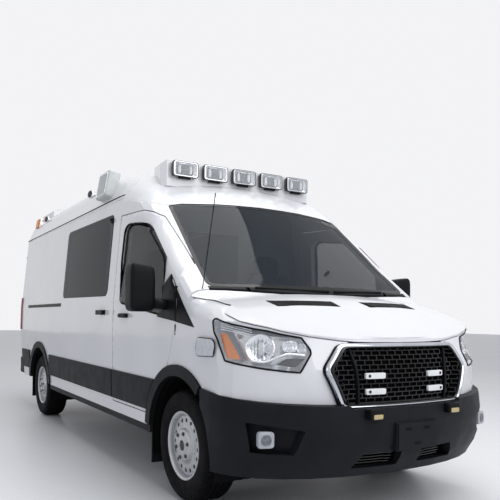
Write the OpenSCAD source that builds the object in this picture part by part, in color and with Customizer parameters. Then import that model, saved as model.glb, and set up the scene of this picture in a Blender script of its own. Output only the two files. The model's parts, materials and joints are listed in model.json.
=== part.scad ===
// Van-type ambulance: hollow jointed body with a light header on the roof.
// Every module is drawn with x = 0 at the front axle; place() moves it to the shared frame.

/* [Overall] */
// Distance between the front and rear axles
wheelbase = 3750; // [3550:10:3950]
// Nose ahead of the front axle
front_overhang = 1030; // [990:5:1080]
// Tail behind the rear axle, step bumper included
rear_overhang = 1130; // [1080:5:1200]
// Half width of the body at its widest
body_half_w = 1018; // [1000:2:1040]
// Height of the roof along the middle of the load space
roof_z = 2518; // [2470:2:2570]
// Lower edge of the body walls
body_low_z = 414; // [405:1:420]
// Thickness of a body wall or door
wall = 60; // [54:1:66]
// Gap around fixed panels
seam = 0.8; // [0.6:0.05:0.9]
// Gap around moving panels
shut_gap = 7; // [6:0.5:8]
// Seat gap between a fitted piece and what carries it
fit = 0.3; // [0.2:0.05:0.4]
// Thickness of the glass
glass_t = 6; // [5:0.5:8]
// Depth of the glass behind the painted skin
glass_set = 4; // [2:1:8]

/* [Windscreen and roof line] */
// Foot of the windscreen ahead of the front axle
screen_foot_x = 240; // [220:5:260]
// Height of the windscreen foot
screen_foot_z = 1348; // [1330:2:1365]
// Head of the windscreen behind the front axle
screen_head_x = -580; // [-610:5:-560]
// Fall from the roof to the windscreen head
screen_head_drop = 446; // [430:2:460]
// Fall from the roof to the joint with the side walls
gutter_drop = 333; // [320:1:345]

/* [Wheels] */
// Outer diameter of a tyre
tyre_d = 712; // [690:2:730]
// Width of a tyre
tyre_w = 235; // [215:5:245]
// Distance between the wheel middles on one axle
track = 1732; // [1710:2:1750]
// Diameter of the rim flange
rim_d = 440; // [420:2:450]
// Radius of the wheel spindle
spindle_r = 30; // [26:1:34]
// Running clearance of a bearing
run = 0.05; // [0.03:0.01:0.08]
// Number of wheel bolts
bolt_count = 6; // [5:1:8]
// Pitch circle of the wheel bolts
bolt_pcd = 160; // [150:2:168]
// Radius of a wheel bolt hole
bolt_r = 8; // [6:0.5:9]
// Number of hand holes in a rim
hand_holes = 16; // [12:1:18]
// Distance of the steering pivot inside the wheel middle
pivot_inset = 176; // [172:1:182]
// Radius of the opening of a wheel arch
arch_r = 448; // [440:2:460]
// Outer radius of an arch flare
flare_r = 520; // [512:2:528]

/* [Doors] */
// Rear edge of a front door behind the front axle
door_rear_x = -1203; // [-1215:1:-1195]
// Lower edge of the doors
door_low_z = 500; // [490:2:515]
// Front edge of the sliding door
slide_front_x = -1217; // [-1225:1:-1215]
// Rear edge of the sliding door
slide_rear_x = -2800; // [-2850:5:-2750]
// Fall from the roof joint to the top of the sliding and rear doors
door_top_drop = 35; // [30:1:45]
// Lower edge of the side windows
window_low_z = 1375; // [1350:5:1400]
// Distance of the rear door edges inside the widest line of the body
rear_door_inset = 128; // [120:1:136]
// Lower edge of the rear doors
rear_door_low_z = 640; // [625:5:660]
// Front door hinge line behind the front axle
hinge_x = -40; // [-44:1:-38]
// Radius of a hinge pin
pin_r = 4; // [3:0.5:5]

/* [Floor and interior] */
// Underside of the floor
floor_z = 590; // [580:2:600]
// Thickness of the floor
floor_t = 60; // [50:2:70]
// Front face of the cab partition
partition_x = -1330; // [-1360:5:-1310]
// Height of the seat cushions
seat_z = 980; // [950:5:1010]

/* [Lamps] */
// Width of a roof lamp
roof_lamp_w = 235; // [215:5:245]
// Height of a roof lamp
roof_lamp_h = 126; // [110:2:136]
// Distance between roof lamps
roof_lamp_step = 277; // [265:1:290]
// Number of roof lamps
roof_lamps = 5; // [3:2:5]
// Front face of the light header behind the front axle
header_x = -870; // [-900:5:-850]
// Length of a grille light bar
bar_w = 140; // [120:5:160]
// Height of a grille light bar
bar_h = 44; // [36:2:52]

// Height of the whip antenna
antenna_h = 620; // [500:10:700]

/* [Chassis] */
// Distance of a frame rail from the middle
rail_y = 420; // [400:5:440]
// Width of a frame rail
rail_w = 70; // [60:2:80]
// Underside of the frame rails
rail_z = 440; // [430:2:450]
// Radius of the tow bore in the rear crossmember
tow_r = 25; // [20:1:30]

// Distance of a rear spring from the middle
spring_y = 555; // [540:5:570]
// Radius of curvature of a rear spring
spring_r = 1800; // [1600:50:2000]

/* [Hidden] */
$fn = 48;
white = [0.93, 0.93, 0.92];
dark = [0.13, 0.135, 0.15];
black = [0.05, 0.05, 0.055];
steel = [0.6, 0.6, 0.62];
glassy = [0.25, 0.3, 0.33, 0.5];
lens = [0.85, 0.87, 0.9];
fa = (wheelbase + rear_overhang - front_overhang) / 2;
tail_x = -wheelbase - rear_overhang;
back_x = tail_x + 50;
wheel_z = tyre_d / 2;
half_track = track / 2;
pivot_y = half_track - pivot_inset;
screen_head_z = roof_z - screen_head_drop;
gutter_z = roof_z - gutter_drop;
slide_top_z = gutter_z - door_top_drop;
rear_door_top_z = gutter_z - door_top_drop;
rear_door_w = body_half_w - rear_door_inset;
far = 9000;

// Half width of the windscreen foot and cowl
cowl_w = body_half_w - 152;

// Side wall: height, half width
side_profile = [
    [300, body_half_w - 20],
    [520, body_half_w - 11],
    [1000, body_half_w],
    [1300, body_half_w - 6],
    [gutter_z, body_half_w - 83],
    [roof_z - 58, body_half_w - 206],
    [roof_z + 90, body_half_w - 320]];

// Body along x: position, height on the middle line, fall to the edge, edge radius
stations = [
    [front_overhang - 60, 1024, 60, 90],
    [front_overhang - 150, 1072, 60, 100],
    [front_overhang - 250, 1136, 60, 110],
    [640, 1210, 60, 120],
    [500, 1268, 60, 120],
    [360, 1315, 65, 120],
    [screen_foot_x, screen_foot_z, 75, 110],
    [screen_foot_x - 120, screen_foot_z + 106, 105, 100],
    [screen_foot_x - 300, screen_foot_z + 265, 125, 100],
    [(screen_foot_x + screen_head_x) / 2 - 60, (screen_foot_z + screen_head_z) / 2 + 53, 130, 110],
    [screen_head_x + 140, screen_head_z - 124, 130, 120],
    [screen_head_x, screen_head_z, 130, 130],
    [-740, roof_z - 322, 125, 150],
    [-900, roof_z - 218, 115, 160],
    [-1080, roof_z - 130, 100, 150],
    [-1300, roof_z - 66, 80, 140],
    [-1600, roof_z - 23, 60, 130],
    [-2000, roof_z, 50, 120],
    [back_x + 500, roof_z, 50, 120],
    [back_x, roof_z - 18, 50, 120]];

// Body outline from above: height, nose, tail
plans = [
    [280, front_overhang - 130, back_x],
    [520, front_overhang - 80, back_x],
    [680, front_overhang - 70, back_x],
    [900, front_overhang - 78, back_x],
    [1060, front_overhang - 128, back_x],
    [1300, front_overhang - 132, back_x + 6],
    [1800, front_overhang - 132, back_x + 30],
    [2300, front_overhang - 132, back_x + 60],
    [2750, front_overhang - 132, back_x + 92]];

// Front bumper outline from above: height, nose
bumper_rows = [
    [300, front_overhang - 110],
    [330, front_overhang - 92],
    [400, front_overhang - 46],
    [480, front_overhang - 16],
    [600, front_overhang - 8],
    [700, front_overhang - 20],
    [780, front_overhang - 50]];

// Outlines from the side: distance from the front axle, height
hood_line = [[1200, 990], [front_overhang - 150, 1052], [710, 1130], [476, 1206], [400, 1256], [110, 1316]];
bumper_line = [[1200, 686], [960, 704], [606, 738], [326, 762]];
function screen_line(x) = screen_foot_z
    + (screen_foot_x - x) * (screen_head_z - screen_foot_z) / (screen_foot_x - screen_head_x);
door_outline = [[-150, 865], [-28, 1150], [-40, 1440], [-85, screen_line(-85) - 100],
    [-540, screen_line(-540) - 122], [-640, gutter_z - 225], [-740, gutter_z - 201],
    [door_rear_x, gutter_z - 179], [door_rear_x, door_low_z], [-480, door_low_z], [-150, 700]];
door_window = [[-245, 1192], [-245, screen_line(-245) - 191], [-525, screen_line(-525) - 203], [-610, gutter_z - 319],
    [-985, gutter_z - 273], [-1060, gutter_z - 305], [-1082, 1320], [-1060, 1292], [-455, 1215]];
slide_outline = [[slide_front_x, door_low_z], [slide_front_x, slide_top_z], [slide_rear_x, slide_top_z],
    [slide_rear_x, door_low_z]];
slide_window = [[-1400, window_low_z], [-1400, gutter_z - 145], [slide_rear_x + 120, gutter_z - 135],
    [slide_rear_x + 120, window_low_z + 8]];
wing_outline = [[-19, 1157], [160, 1289], [262, 1330], [640, 1330], [606, 955], [606, 738], [326, 762],
    [0, 600], [-142, 872]];
lamp_outline = [[425, 1182], [712, 1108], [860, 1046], [900, 980], [858, 880], [735, 903], [556, 938]];
roof_outline = [[-far, gutter_z], [-1180, gutter_z - 25], [-645, screen_head_z - 40], [-500, screen_head_z - 40],
    [-500, 2900], [-far, 2900]];

// Outlines from the front: distance from the middle, height
screen_outline = [[-cowl_w, 1380], [cowl_w, 1380], [800, screen_head_z - 54], [690, screen_head_z - 27],
    [380, screen_head_z - 7], [0, screen_head_z], [-380, screen_head_z - 7], [-690, screen_head_z - 27],
    [-800, screen_head_z - 54]];
grille_outline = [[-414, 1040], [414, 1040], [512, 900], [430, 688], [-430, 688], [-512, 900]];
lamp_inner = [[700, 860], [612, 985], [612, 1008], [646, 1070], [646, 1300], [1200, 1300], [1200, 860]];

function pairs(t, c) = [for (r = t) [r[0], r[c]]];
function side_y(z) = lookup(z, side_profile);
function top_z(x) = lookup(x, pairs(stations, 1));
function bend(a, c, b, t) = (1 - t) * (1 - t) * a + 2 * t * (1 - t) * c + t * t * b;

// Cross section of the body at x, moved inward by inset
function section(x, inset) =
    let (slope = (top_z(x + 5) - top_z(x - 5)) / 10,
        top = top_z(x) - inset * sqrt(1 + slope * slope),
        drop = lookup(x, pairs(stations, 2)),
        r = max(lookup(x, pairs(stations, 3)) - inset, 40),
        edge_z = top - drop,
        edge_y = side_y(edge_z) - inset,
        low = inset > 0 ? body_low_z - 60 : body_low_z,
        a = [side_y(edge_z - r) - inset, edge_z - r],
        by = edge_y - 1.3 * r,
        b = [by, top - drop * pow(by / edge_y, 2)],
        half = concat(
            [[side_y(low) - inset, low]],
            [for (p = side_profile) if (p[0] > low && p[0] < edge_z - r) [p[1] - inset, p[0]]],
            [for (t = [0:0.25:1]) bend(a, [edge_y, edge_z], b, t)],
            [for (k = [0.75, 0.5, 0.25, 0]) [by * k, top - drop * pow(by * k / edge_y, 2)]]))
    concat([for (p = half) [x, p[0], p[1]]], [for (p = half) [x, -p[0], p[1]]]);

// Rounded nose: reach, half width, length of the curve
function nose_arc(z, reach, w, curve) =
    [for (q = [0:11.25:90]) [reach - curve + curve * pow(cos(q), 0.909), w * pow(sin(q), 0.909), z]];
function tail_arc(z, reach, w, curve) =
    [for (q = [0, 10, 24, 45, 66, 80, 90]) [reach + curve - curve * pow(cos(q), 0.4), w * pow(sin(q), 0.4), z]];
function both(h) = concat(h, [for (p = h) [p[0], -p[1], p[2]]]);
function plan(r, inset) =
    both(concat(nose_arc(r[0], r[1] - inset, body_half_w + 14 - inset, 550),
        tail_arc(r[0], r[2] + inset, body_half_w + 14 - inset, 130)));
function bumper_plan(r, inset) =
    both(concat(nose_arc(r[0], r[1] - inset, body_half_w + 12 - inset, 560), [[200, body_half_w + 12 - inset, r[0]]]));

module place() translate([fa, 0, 0]) children();
module right() mirror([0, 1, 0]) children();
module both_sides() {
    children();
    right() children();
}
module span(a, b) hull() polyhedron(concat(a, b), [[for (i = [0 : len(a) + len(b) - 1]) i]]);
module side_cut(pts, y0, y1, grow = 0, round = 0)
    translate([0, y1, 0]) rotate([90, 0, 0]) linear_extrude(y1 - y0)
        offset(r = round, $fn = 20) offset(delta = grow - round) polygon(pts);
module front_cut(pts, x0, x1, grow = 0, round = 0)
    translate([x0, 0, 0]) rotate([90, 0, 90]) linear_extrude(x1 - x0)
        offset(r = round, $fn = 20) offset(delta = grow - round) polygon(pts);
module box(x0, x1, y0, y1, z0, z1) translate([x0, y0, z0]) cube([x1 - x0, y1 - y0, z1 - z0]);
module block(x, y, z, size) translate([x, y, z]) cube(size, center = true);

// Whole body as one solid, moved inward by inset
module body(inset = 0) {
    n = len(stations) - 1;
    rows = inset > 20 ? [0, 3, 6, 8, 11, 13, 15, 17, n] : [0 : n];
    x = [for (i = rows) stations[i][0] + (i == 0 ? 200 : i == n ? -200 : 0)];
    intersection() {
        union() for (i = [0 : len(x) - 2]) span(section(x[i], inset), section(x[i + 1], inset));
        union() for (i = [0 : len(plans) - 2]) span(plan(plans[i], inset), plan(plans[i + 1], inset));
    }
}

// Layer of the body from proud of the skin to deep below it
module skin(proud, deep) difference() {
    body(-proud);
    body(deep);
}
module bumper_body(inset) for (i = [0 : len(bumper_rows) - 2])
    span(bumper_plan(bumper_rows[i], inset), bumper_plan(bumper_rows[i + 1], inset));
module wheel_hole(x, r) translate([x, 0, wheel_z]) rotate([90, 0, 0]) cylinder(h = 2 * far, r = r, center = true);
module hood_space(grow = 0) intersection() {
    side_cut(concat(hood_line, [[110, 1900], [1200, 1900]]), -far, far, grow);
    linear_extrude(2000) offset(delta = grow) polygon(concat([[1200, 1200], [1200, -1200]],
        [for (y = [-1200:100:1200]) [hood_edge(y), y]]));
}
module lamp_space(grow = 0) intersection() {
    side_cut(lamp_outline, 0, far, grow, 14);
    front_cut(lamp_inner, 300, far, grow);
}

module front_door_space(grow) difference() {
    side_cut(door_outline, 300, far, grow, 12);
    wheel_hole(0, flare_r + shut_gap - grow);
}
module rear_door_space(grow) front_cut([[3, rear_door_low_z], [rear_door_w, rear_door_low_z],
    [rear_door_w, rear_door_top_z - 60], [rear_door_w - 30, rear_door_top_z], [3, rear_door_top_z]],
    back_x - 200, back_x + 190, grow);
module rear_window_space(grow) front_cut([[150, window_low_z - 40], [rear_door_w - 120, window_low_z - 40],
    [rear_door_w - 155, rear_door_top_z - 170], [150, rear_door_top_z - 170]], back_x - 200, back_x + 190, grow, 50);

module hinge_row(x, y, spots, r, len) for (z = spots) translate([x, y, z]) cylinder(h = len, r = r, center = true);
front_hinges = [1120, 1370];
rear_hinges = [900, 1450, rear_door_top_z - 150];
front_hinge_y = body_half_w - 6;
rear_hinge_x = back_x - 12;
rear_hinge_y = rear_door_w + 34;
antenna_x = 120;
antenna_y = -905;
hood_hinge_x = 120;
hood_hinge_z = 1345;
hood_hinge_y = 600;

// Body panels
module side_panel(slider) difference() {
    intersection() {
        skin(0, wall);
        side_cut([[155, 1130], [155, 2300], [-far, 2300], [-far, 300], [-440, 300], [-440, 1130]], 0, far);
    }
    side_cut(roof_outline, -far, far, seam);
    front_cut(screen_outline, -900, 400, seam, 30);
    box(-200, 400, -cowl_w - seam, cowl_w + seam, 1000, 1380 + seam);
    hood_space(shut_gap + 6);
    side_cut(wing_outline, 0, far, seam);
    front_door_space(shut_gap);
    rear_door_space(shut_gap);
    wheel_hole(0, flare_r + seam);
    wheel_hole(-wheelbase, flare_r + seam);
    if (slider) side_cut(slide_outline, 0, far, seam, 20);
    box(back_x - 300, tail_x + 260 + seam, -100, 1200, 300, rear_door_low_z);
    front_hinge_leaf(fit);
    rear_hinge_leaf(fit);
}
module side_left() color(white) place() side_panel(false);
module side_right() color(white) place() right() side_panel(true);

module roof() color(white) place() difference() {
    intersection() {
        skin(0, wall);
        side_cut(roof_outline, -far, far);
    }
    side_cut([[-1100, 1900], [-1100, gutter_z], [-1330, 2900], [0, 2900], [0, 1900]], -far, far);
    both_sides() rear_door_space(shut_gap);
}
module front_roof_cap() difference() {
    union() {
        intersection() {
            skin(0, wall);
            side_cut(roof_outline, -far, far);
            side_cut([[-1098, 1900], [-1098, gutter_z], [-1328, 2900], [0, 2900], [0, 1900]], -far, far);
        }
        difference() {
            hull() {
                box(header_x - 5, header_x, -700, 700, roof_z - 290, roof_z - 82);
                box(header_x - 380, header_x - 370, -640, 640, roof_z - 130, roof_z - 60);
                box(header_x - 60, header_x - 50, -730, 730, roof_z - 290, roof_z - 108);
            }
            body(-fit);
        }
    }
    front_cut(screen_outline, -900, 400, seam, 30);
}
module rear_roof_box() difference() {
    hull() {
        box(back_x + 150, back_x + 560, -640, 640, roof_z - 60, roof_z + 60);
        box(back_x + 110, back_x + 700, -760, 760, roof_z - 60, roof_z + 4);
    }
    body(-fit);
}

module roof_caps() color(white) place() {
    front_roof_cap();
    rear_roof_box();
}

module wings() color(white) place() both_sides() difference() {
    intersection() {
        skin(0, wall);
        side_cut(wing_outline, 640, far);
    }
    hood_space(shut_gap);
    lamp_space(seam);
    wheel_hole(0, flare_r + seam);
    front_cut(screen_outline, -900, 400, seam, 30);
    box(-200, 400, -cowl_w - seam, cowl_w + seam, 1000, 1380 + seam);
    front_hinge_leaf(fit);
    // Room for the eye as the door swings
    for (z = front_hinges) translate([hinge_x - 44, front_hinge_y - 34, z - 20]) cube([58, 60, 40]);
    hinge_row(hinge_x, front_hinge_y, [1120], 14, 110);
}
module fascia() color(white) place() difference() {
    intersection() {
        skin(0, wall);
        side_cut(concat(bumper_line, [[326, 1500], [1200, 1500]]), -far, far);
        box(606 + seam, 1300, -far, far, 300, 1500);
    }
    hood_space(shut_gap);
    both_sides() lamp_space(seam);
    front_cut(grille_outline, 500, 1300, 0, 24);
    front_cut([[-380, 1000], [380, 1000], [380, 1300], [-380, 1300]], 500, 1300);
    both_sides() side_cut(wing_outline, 300, far, seam);
}
module hood() color(white) place() difference() {
    intersection() {
        skin(0, 40);
        hood_space();
    }
    vents(fit);
    hood_hinge_arm(fit);
}
module vents(grow) both_sides() translate([0, 0, -1]) intersection() {
    skin(2 + grow, 22 + grow);
    linear_extrude(2000) offset(delta = grow) polygon([[388, 566], [436, 145], [520, 150], [478, 560]]);
}
module cowl_panel() difference() {
    intersection() {
        skin(0, 24);
        box(-200, screen_foot_x + 30, -cowl_w, cowl_w, 1000, 1380 - seam);
    }
    hood_space(shut_gap + 13);
    box(-200, 400, -900, 900, 1000, 1262);
    both_sides() box(90, 400, hood_hinge_y - 14, hood_hinge_y + 14, 1000, 1500);
}
module windscreen() color(glassy) place() intersection() {
    skin(-glass_set, glass_set + glass_t);
    front_cut(screen_outline, -900, 400, 0, 30);
}

// Front doors
module front_door() difference() {
    intersection() {
        skin(0, wall);
        front_door_space(0);
    }
    side_cut(door_window, 300, far, 0, 45);
    door_hinge_eye(fit);
    front_hinge_leaf(6);
    front_cut(screen_outline, -900, 400, shut_gap, 30);
}
module front_door_glass() intersection() {
    skin(-glass_set, glass_set + glass_t);
    side_cut(door_window, 300, far, -fit, 45);
}
module front_door_left() color(white) place() front_door();
module front_door_right() color(white) place() right() front_door();
module front_glass_left() color(glassy) place() front_door_glass();
module front_glass_right() color(glassy) place() right() front_door_glass();

// Front hinge: leaf and pin on the wing, eye on the door
module front_hinge_leaf(grow) for (z = front_hinges) translate([hinge_x, front_hinge_y, z]) {
    translate([2 - grow, -26 - grow, -28 - grow]) cube([30 + 2 * grow, 20 + 2 * grow, 14 + 2 * grow]);
    translate([-5 - grow, -26 - grow, -28 - grow]) cube([12 + 2 * grow, 26 + pin_r + grow, 14 + 2 * grow]);
}
module door_hinge_eye(grow) for (z = front_hinges) translate([hinge_x, front_hinge_y, z]) {
    translate([-34 - grow, -26 - grow, -12 - grow]) cube([28 + 2 * grow, 20 + 2 * grow, 24 + 2 * grow]);
    translate([-8 - grow, -26 - grow, -12 - grow]) cube([13 + grow, 26 + pin_r + grow, 24 + 2 * grow]);
}
module door_fittings() {
    difference() {
        door_hinge_eye(0);
        hinge_row(hinge_x, front_hinge_y, front_hinges, pin_r + run, 80);
    }
    // Handle
    translate([-1030, side_y(1172) + fit, 1172]) cube([150, 16, 34]);
    translate([-1010, side_y(1172) + fit + 15, 1176]) cube([150, 18, 26]);
}

module rear_hinge_leaf(grow) for (z = rear_hinges) translate([rear_hinge_x, rear_hinge_y, z]) {
    translate([-8 - grow, -8 - grow, -38 - grow]) cube([120 + 2 * grow, 24 + 2 * grow, 20 + 2 * grow]);
}
module rear_hinge_eye(grow) for (z = rear_hinges) translate([rear_hinge_x, rear_hinge_y, z]) {
    translate([-8 - grow, -72 - grow, -17 - grow]) cube([13 + 2 * grow, 80 + 2 * grow, 34 + 2 * grow]);
    translate([-8 - grow, -72 - grow, -17 - grow]) cube([105 + 2 * grow, 32 + 2 * grow, 34 + 2 * grow]);
}
module rear_door() difference() {
    intersection() {
        skin(0, wall);
        rear_door_space(0);
    }
    rear_window_space(0);
    rear_hinge_eye(fit);
}
module rear_door_glass() intersection() {
    skin(-glass_set, glass_set + glass_t);
    rear_window_space(-fit);
}
module rear_fittings() difference() {
    rear_hinge_eye(0);
    hinge_row(rear_hinge_x, rear_hinge_y, rear_hinges, pin_r + run, 120);
}
module rear_door_left() color(white) place() rear_door();
module rear_door_right() color(white) place() right() rear_door();
module rear_glass_left() color(glassy) place() rear_door_glass();
module rear_glass_right() color(glassy) place() right() rear_door_glass();
module rear_fittings_left() color(black) place() rear_fittings();
module rear_fittings_right() color(black) place() right() rear_fittings();

module hood_hinge_arm(grow) both_sides() translate([hood_hinge_x, hood_hinge_y, hood_hinge_z]) {
    translate([-12 - grow, -6 - grow, -83 - grow]) cube([24 + 2 * grow, 12 + 2 * grow, 95 + 2 * grow]);
    translate([-12 - grow, -6 - grow, -83 - grow]) cube([182 + 2 * grow, 12 + 2 * grow, 22 + 2 * grow]);
    translate([125 - grow, -6 - grow, -83 - grow]) cube([45 + 2 * grow, 12 + 2 * grow, 42 + 2 * grow]);
}
module hood_fittings() color(black) place() {
    vents(0);
    difference() {
        hood_hinge_arm(0);
        both_sides() translate([hood_hinge_x, hood_hinge_y, hood_hinge_z]) rotate([90, 0, 0])
            cylinder(h = 60, r = pin_r + run, center = true, $fn = 32);
    }
}
module hinge_pins() color(black) place() both_sides() {
    front_hinge_leaf(0);
    hinge_row(hinge_x, front_hinge_y, [for (z = front_hinges) z - 8], pin_r, 40);
    rear_hinge_leaf(0);
    hinge_row(rear_hinge_x, rear_hinge_y, [for (z = rear_hinges) z - 10], pin_r, 54);
    // Hood hinge bracket on the firewall
    translate([hood_hinge_x, hood_hinge_y + 8, hood_hinge_z]) rotate([90, 0, 0])
        cylinder(h = 36, r = pin_r, center = true);
    box(hood_hinge_x - 8, hood_hinge_x + 18, hood_hinge_y + 12, hood_hinge_y + 24, 1190 + fit, hood_hinge_z + 12);
}

// Sliding door
module sliding_door() color(white) place() right() difference() {
    intersection() {
        skin(0, wall);
        side_cut(slide_outline, 300, far, 0, 20);
    }
    side_cut(slide_window, 300, far, 0, 60);
}
module sliding_glass() color(glassy) place() right() intersection() {
    skin(-1, 1 + glass_t);
    side_cut(slide_window, 300, far, -fit, 60);
}
module sliding_hardware() color(black) place() right() {
    // Rail along the quarter panel and the pull handle
    intersection() {
        skin(5, -fit);
        union() {
            side_cut([[slide_rear_x - 20, 1282], [slide_rear_x - 20, 1316], [slide_rear_x - 1560, 1316],
                [slide_rear_x - 1560, 1282]], 300, far);
        }
    }
    intersection() {
        skin(34, -fit);
        side_cut([[-1400, 1195], [-1400, 1235], [-1560, 1235], [-1560, 1195]], 300, far);
    }
}

// Lower cladding and arches
module flare_ring(x, a0, a1) difference() {
    wheel_hole(x, flare_r);
    wheel_hole(x, arch_r);
    translate([x, 0, wheel_z]) rotate([90, 0, 0]) linear_extrude(2600, center = true)
        polygon([[0, 0], for (q = [a1 : (360 + a0 - a1) / 12 : 361 + a0]) 900 * [cos(q), sin(q)]]);
}
module cladding_strip(x0, x1) side_cut([[x0, 524], [x1, 524], [x1, 748], [x0, 748]], 300, far);
module cladding() color(dark) place() {
    sills();
    both_sides() intersection() {
        skin(14, 50);
        union() {
            flare_ring(0, 53, 172);
            flare_ring(-wheelbase, 8, 172);
        }
        box(-far, far, 600, far, body_low_z, 1200);
    }
    both_sides() difference() {
        intersection() {
            skin(12, -fit);
            union() {
                cladding_strip(slide_front_x - 2, slide_rear_x + 3);
                cladding_strip(slide_rear_x - 3, -wheelbase + flare_r - 40);
                cladding_strip(-wheelbase - flare_r + 40, back_x + 160);
            }
        }
        wheel_hole(-wheelbase, flare_r + seam);
        box(back_x - 300, tail_x + 260 + seam, 600, far, 300, 628 + seam);
    }
}
module door_cladding() difference() {
    intersection() {
        skin(12, -fit);
        cladding_strip(-300, door_rear_x + 3);
    }
    wheel_hole(0, flare_r + shut_gap + 3);
}
module door_trim() {
    door_cladding();
    door_fittings();
}
module door_trim_left() color(dark) place() door_trim();
module door_trim_right() color(dark) place() right() door_trim();
module sills() both_sides() {
    box(-wheelbase + 470, -470, body_half_w - 110, body_half_w - 24, 362, body_low_z - fit);
    // Mud flaps
    box(-462, -452, half_track - 66, body_half_w - 33, 150, body_low_z + 90);
    box(-wheelbase - 462, -wheelbase - 452, half_track - 86, body_half_w - 33, 170, body_low_z + 90);
}

// Front end
module bumper_cut(pts, grow = 0) front_cut(pts, 500, 1200, grow, 8);
fog_bay = [[950, 615], [690, 578], [735, 445], [925, 450]];
intake = [[80, 352], [80, 440], [345, 444], [400, 352]];
module front_bumper() color(dark) place() difference() {
    union() {
        intersection() {
            difference() {
                bumper_body(0);
                bumper_body(80);
            }
            side_cut(concat([for (p = bumper_line) [p[0], p[1] - seam]], [[326, 300], [1200, 300]]), -far, far);
        }
        box(front_overhang - 60, front_overhang, -160, 160, 446, 604);
    }
    wheel_hole(0, arch_r);
    both_sides() intersection() {
        bumper_cut(fog_bay);
        difference() {
            bumper_body(-20);
            bumper_body(45);
        }
    }
    both_sides() bumper_cut(intake);
    front_cut(grille_outline, 500, 1300, 0, 24);
    box(front_overhang - 12, front_overhang + 20, -151, 151, 456, 594);
    for (y = [-80, 0, 80]) block(front_overhang - 10, y, 520, [20, 30, 12]);
    both_sides() box(-far, 330, -100, 1300, 0, 900);
}
module bumper_lamps() both_sides() {
    // Fog lamp in its bay
    intersection() {
        difference() {
            bumper_body(8);
            bumper_body(45 - fit);
        }
        bumper_cut([[915, 565], [835, 565], [835, 490], [915, 490]]);
    }
    // Small flood lamp on the bumper edge
    intersection() {
        difference() {
            bumper_body(-24);
            bumper_body(-fit);
        }
        bumper_cut([[267, 630], [347, 630], [347, 672], [267, 672]]);
    }
}
module grille() color(black) place() intersection() {
    skin(-10, 26);
    translate([500, 0, 0]) rotate([90, 0, 90]) linear_extrude(800) difference() {
        offset(r = 20) offset(delta = -20 - 34 - fit) polygon(grille_outline);
        for (i = [0:6], j = [-5:5]) translate([(j + (i % 2) / 2) * 88, 732 + i * 45]) square([76, 34], center = true);
    }
}
module grille_surround() color(steel) place() intersection() {
    skin(8, 40);
    difference() {
        front_cut(grille_outline, 500, 1300, -fit, 24);
        front_cut(grille_outline, 400, 1400, -34, 20);
    }
}
module grille_bars() both_sides() intersection() {
    skin(12, 10 - fit);
    union() for (z = [774, 862]) front_cut([[304 - bar_w, z - bar_h / 2], [304, z - bar_h / 2],
        [304, z + bar_h / 2], [304 - bar_w, z + bar_h / 2]], 500, 1300);
}
module headlamps() color(lens) place() both_sides() intersection() {
    skin(0, 90);
    lamp_space(0);
}
module wing_markers() both_sides() intersection() {
    skin(14, -fit);
    side_cut([[268, 968], [300, 952], [486, 960], [500, 1030], [470, 1056], [292, 1060]], 300, far);
}
module front_lamps() color(lens) place() {
    bumper_lamps();
    grille_bars();
    wing_markers();
}
// Height of the skin at x, y on the crowned top
function skin_z(x, y) =
    let (drop = lookup(x, pairs(stations, 2)))
    top_z(x) - drop * pow(y / side_y(top_z(x) - drop), 2);
function hood_edge(y) = screen_foot_x + 20 - 105 * pow(y / 870, 2);
module wipers() for (s = [[-540, 30], [90, 560]]) hull() for (y = s) let (x = hood_edge(y) - 36)
    translate([x, y, skin_z(x, y) + 5]) sphere(r = 9, $fn = 8);
module antenna() difference() {
    union() {
        translate([antenna_x, antenna_y, 1320]) cylinder(h = 46, r1 = 22, r2 = 6, $fn = 24);
        translate([antenna_x, antenna_y, 1350]) rotate([-6, 4, 0]) cylinder(h = antenna_h, r = 3, $fn = 12);
    }
    body(-fit);
}
module cowl() color(black) place() {
    cowl_panel();
    wipers();
    antenna();
}

// Roof and tail lamps
module roof_lamp_heads() for (i = [0 : roof_lamps - 1])
    translate([header_x + fit, (i - (roof_lamps - 1) / 2) * roof_lamp_step - roof_lamp_w / 2, roof_z - 216])
        cube([52, roof_lamp_w, roof_lamp_h]);
module roof_side_lamps() {
    both_sides() intersection() {
        skin(40, -fit);
        union() for (x = [-2390, -wheelbase - 430])
            side_cut([[x - 60, roof_z - 145], [x + 60, roof_z - 145], [x + 60, roof_z - 70], [x - 60, roof_z - 70]],
                300, far);
    }
    both_sides() intersection() {
        skin(95, -fit);
        side_cut([[-1820, gutter_z + 60], [-1530, gutter_z + 50], [-1560, roof_z - 40], [-1800, roof_z - 40]],
            300, far);
    }
    both_sides() intersection() {
        skin(40, -fit);
        side_cut([[back_x + 180, gutter_z + 150], [back_x + 340, gutter_z + 150], [back_x + 340, roof_z - 50],
            [back_x + 180, roof_z - 50]], 780, far);
    }
}
module roof_lights() color(lens) place() {
    roof_lamp_heads();
    roof_side_lamps();
}
module tail_lamps() color([0.6, 0.05, 0.05]) place() both_sides() intersection() {
    skin(12, -fit);
    front_cut([[rear_door_w + 56, 1000], [far, 1000], [far, 1420], [rear_door_w + 56, 1420]],
        back_x - 100, back_x + 90);
}
module rear_bumper() color(dark) place() difference() {
    hull() {
        box(tail_x, tail_x + 40, -body_half_w + 138, body_half_w - 138, 430, 628);
        box(tail_x + 60, tail_x + 260, -body_half_w + 10, body_half_w - 10, 430, 628);
    }
    box(tail_x + 105, tail_x + 400, -body_half_w + 62, body_half_w - 62, 300, 800);
}

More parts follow.
